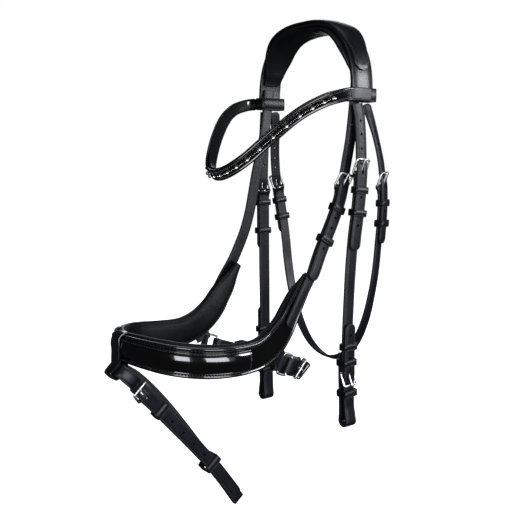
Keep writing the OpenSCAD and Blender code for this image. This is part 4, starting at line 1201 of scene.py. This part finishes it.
flash_front = strap_path(fw,
                         [[270.8, 8, -367.8, 0.72, 0, -0.7], [264, 11.4, -375, 0.73, 0, -0.69],
                          [256, 11, -383, 0.74, 0, -0.68]])
f = fr(flash, 9)
c = f[0] - 4.7 * f[3]
turn = [[*(c + 2.6 * (math.sin(math.radians(a)) * f[3] + math.cos(math.radians(a)) * f[1])), 0.8, 0, -0.6, fw,
         3] for a in (75, 45, 15, -15, -45, -75)]
rows = np.concatenate([run(flash, step_s(flash, 2, 5.0), 8.85, 20, -lay), arr(turn), flash_back, flash_front,
                       arr([at(flash, 0.8, 0), at(flash, 1.3, 0.1)]), run(flash, 1.95, 8.6, 18, lay)])
p = Piece()
p.strap(tip(dense(rows, 6), 6))
me = drilled(p.mesh("fs"),
             [(place(flash, q, lay), 1.6, 0.0) for q in (3.7, 4.5, 5.3, 6.1)] + [slot_cut(flash, 2)], "fs")
q = Piece()
fold(q, flash, 2, fw)
finish_piece("flash_strap", [me, q.mesh("fsf")], [STRAP, THREAD])
keepers("flash_keepers", (flash, 2.95, fw + 0.8, top0, top1, 9.0))
buckle("flash_buckle", flash, 2, fw + 1)
tongue("flash_tongue", flash, 2)
keepers("flash_runner", (flash, 6.75, fw + 3.4, -10.5, top1 + 0.4, 9.0))

p = Piece()
ca, sa = math.cos(math.radians(44)), math.sin(math.radians(44))
loop_top = -361.0
ring = []
pts = round_rect(9.85, 5.65, -5.65, 2.8, 6)
sec = both_ways([(-7, -0.9), (-7, 0.4), (-6.5, 0.9), (-5.6, 0.9), (-5.3, 0.7), (-5.0, 0.9), (0, 1.0)])
for i, (px, pz) in enumerate(pts):
    out_ = outward(pts, i)
    row = []
    for y, z in sec:
        X, Z = px + out_[0] * z, pz + out_[1] * z
        wx, wz = 272 + X * ca + Z * sa, -366.7 - X * sa + Z * ca
        if wz > loop_top and wx < 270.6:    # flat against the noseband's lower edge
            wz = loop_top
        row.append((wx, y, wz))
    ring.append(row)
p.add(ring, BAND_WEAR, loop=True)
plate = arr([[262, 0, -328.6, 0, 1, 0, 16, 2.2], [267.6, 0, -329.4, 0, 1, 0, 16, 2.2],
             [271.6, 0, -333, 0, 1, 0, 16, 2.2], [272.6, 0, -341, 0, 1, 0, 16, 2.2],
             [272.8, 0, -350, 0, 1, 0, 16, 2.2], [273.1, 0, -355.5, 0, 1, 0, 16, 2.2],
             [273.4, 0, -360.3, 0, 1, 0, 15.2, 2.2]])
p.strap(dense(plate, 5))
for x in (6.2, -6.2):
    stitches(p, plate, 1.2, 5.2, x, 1.1)
finish_piece("flash_loop", [p.mesh("fl")], [PATENT, THREAD])

# ---- floor
lo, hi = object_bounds()
bpy.ops.mesh.primitive_plane_add(size=14, location=(0, 0, lo.z - 0.012))
floor = bpy.context.object
floor.name = "floor"
m, nt, b = tree("floor")
speck = nd(nt, "ShaderNodeTexNoise", Scale=3.0, Detail=2.0)
tone = nd(nt, "ShaderNodeMix", data_type="RGBA")
nt.links.new(speck.outputs["Fac"], tone.inputs["Factor"])
tone.inputs["A"].default_value = (0.93, 0.93, 0.93, 1)
tone.inputs["B"].default_value = (0.96, 0.96, 0.96, 1)
nt.links.new(tone.outputs["Result"], b.inputs["Base Color"])
b.inputs["Roughness"].default_value = 0.9
b.inputs["Emission Color"].default_value = (1, 1, 1, 1)
b.inputs["Emission Strength"].default_value = 1.0
floor.data.materials.append(m)
# the studio floor lights nothing, so black patent leather stays black
floor.visible_glossy = floor.visible_diffuse = False
floor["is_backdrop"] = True

lo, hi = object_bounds()
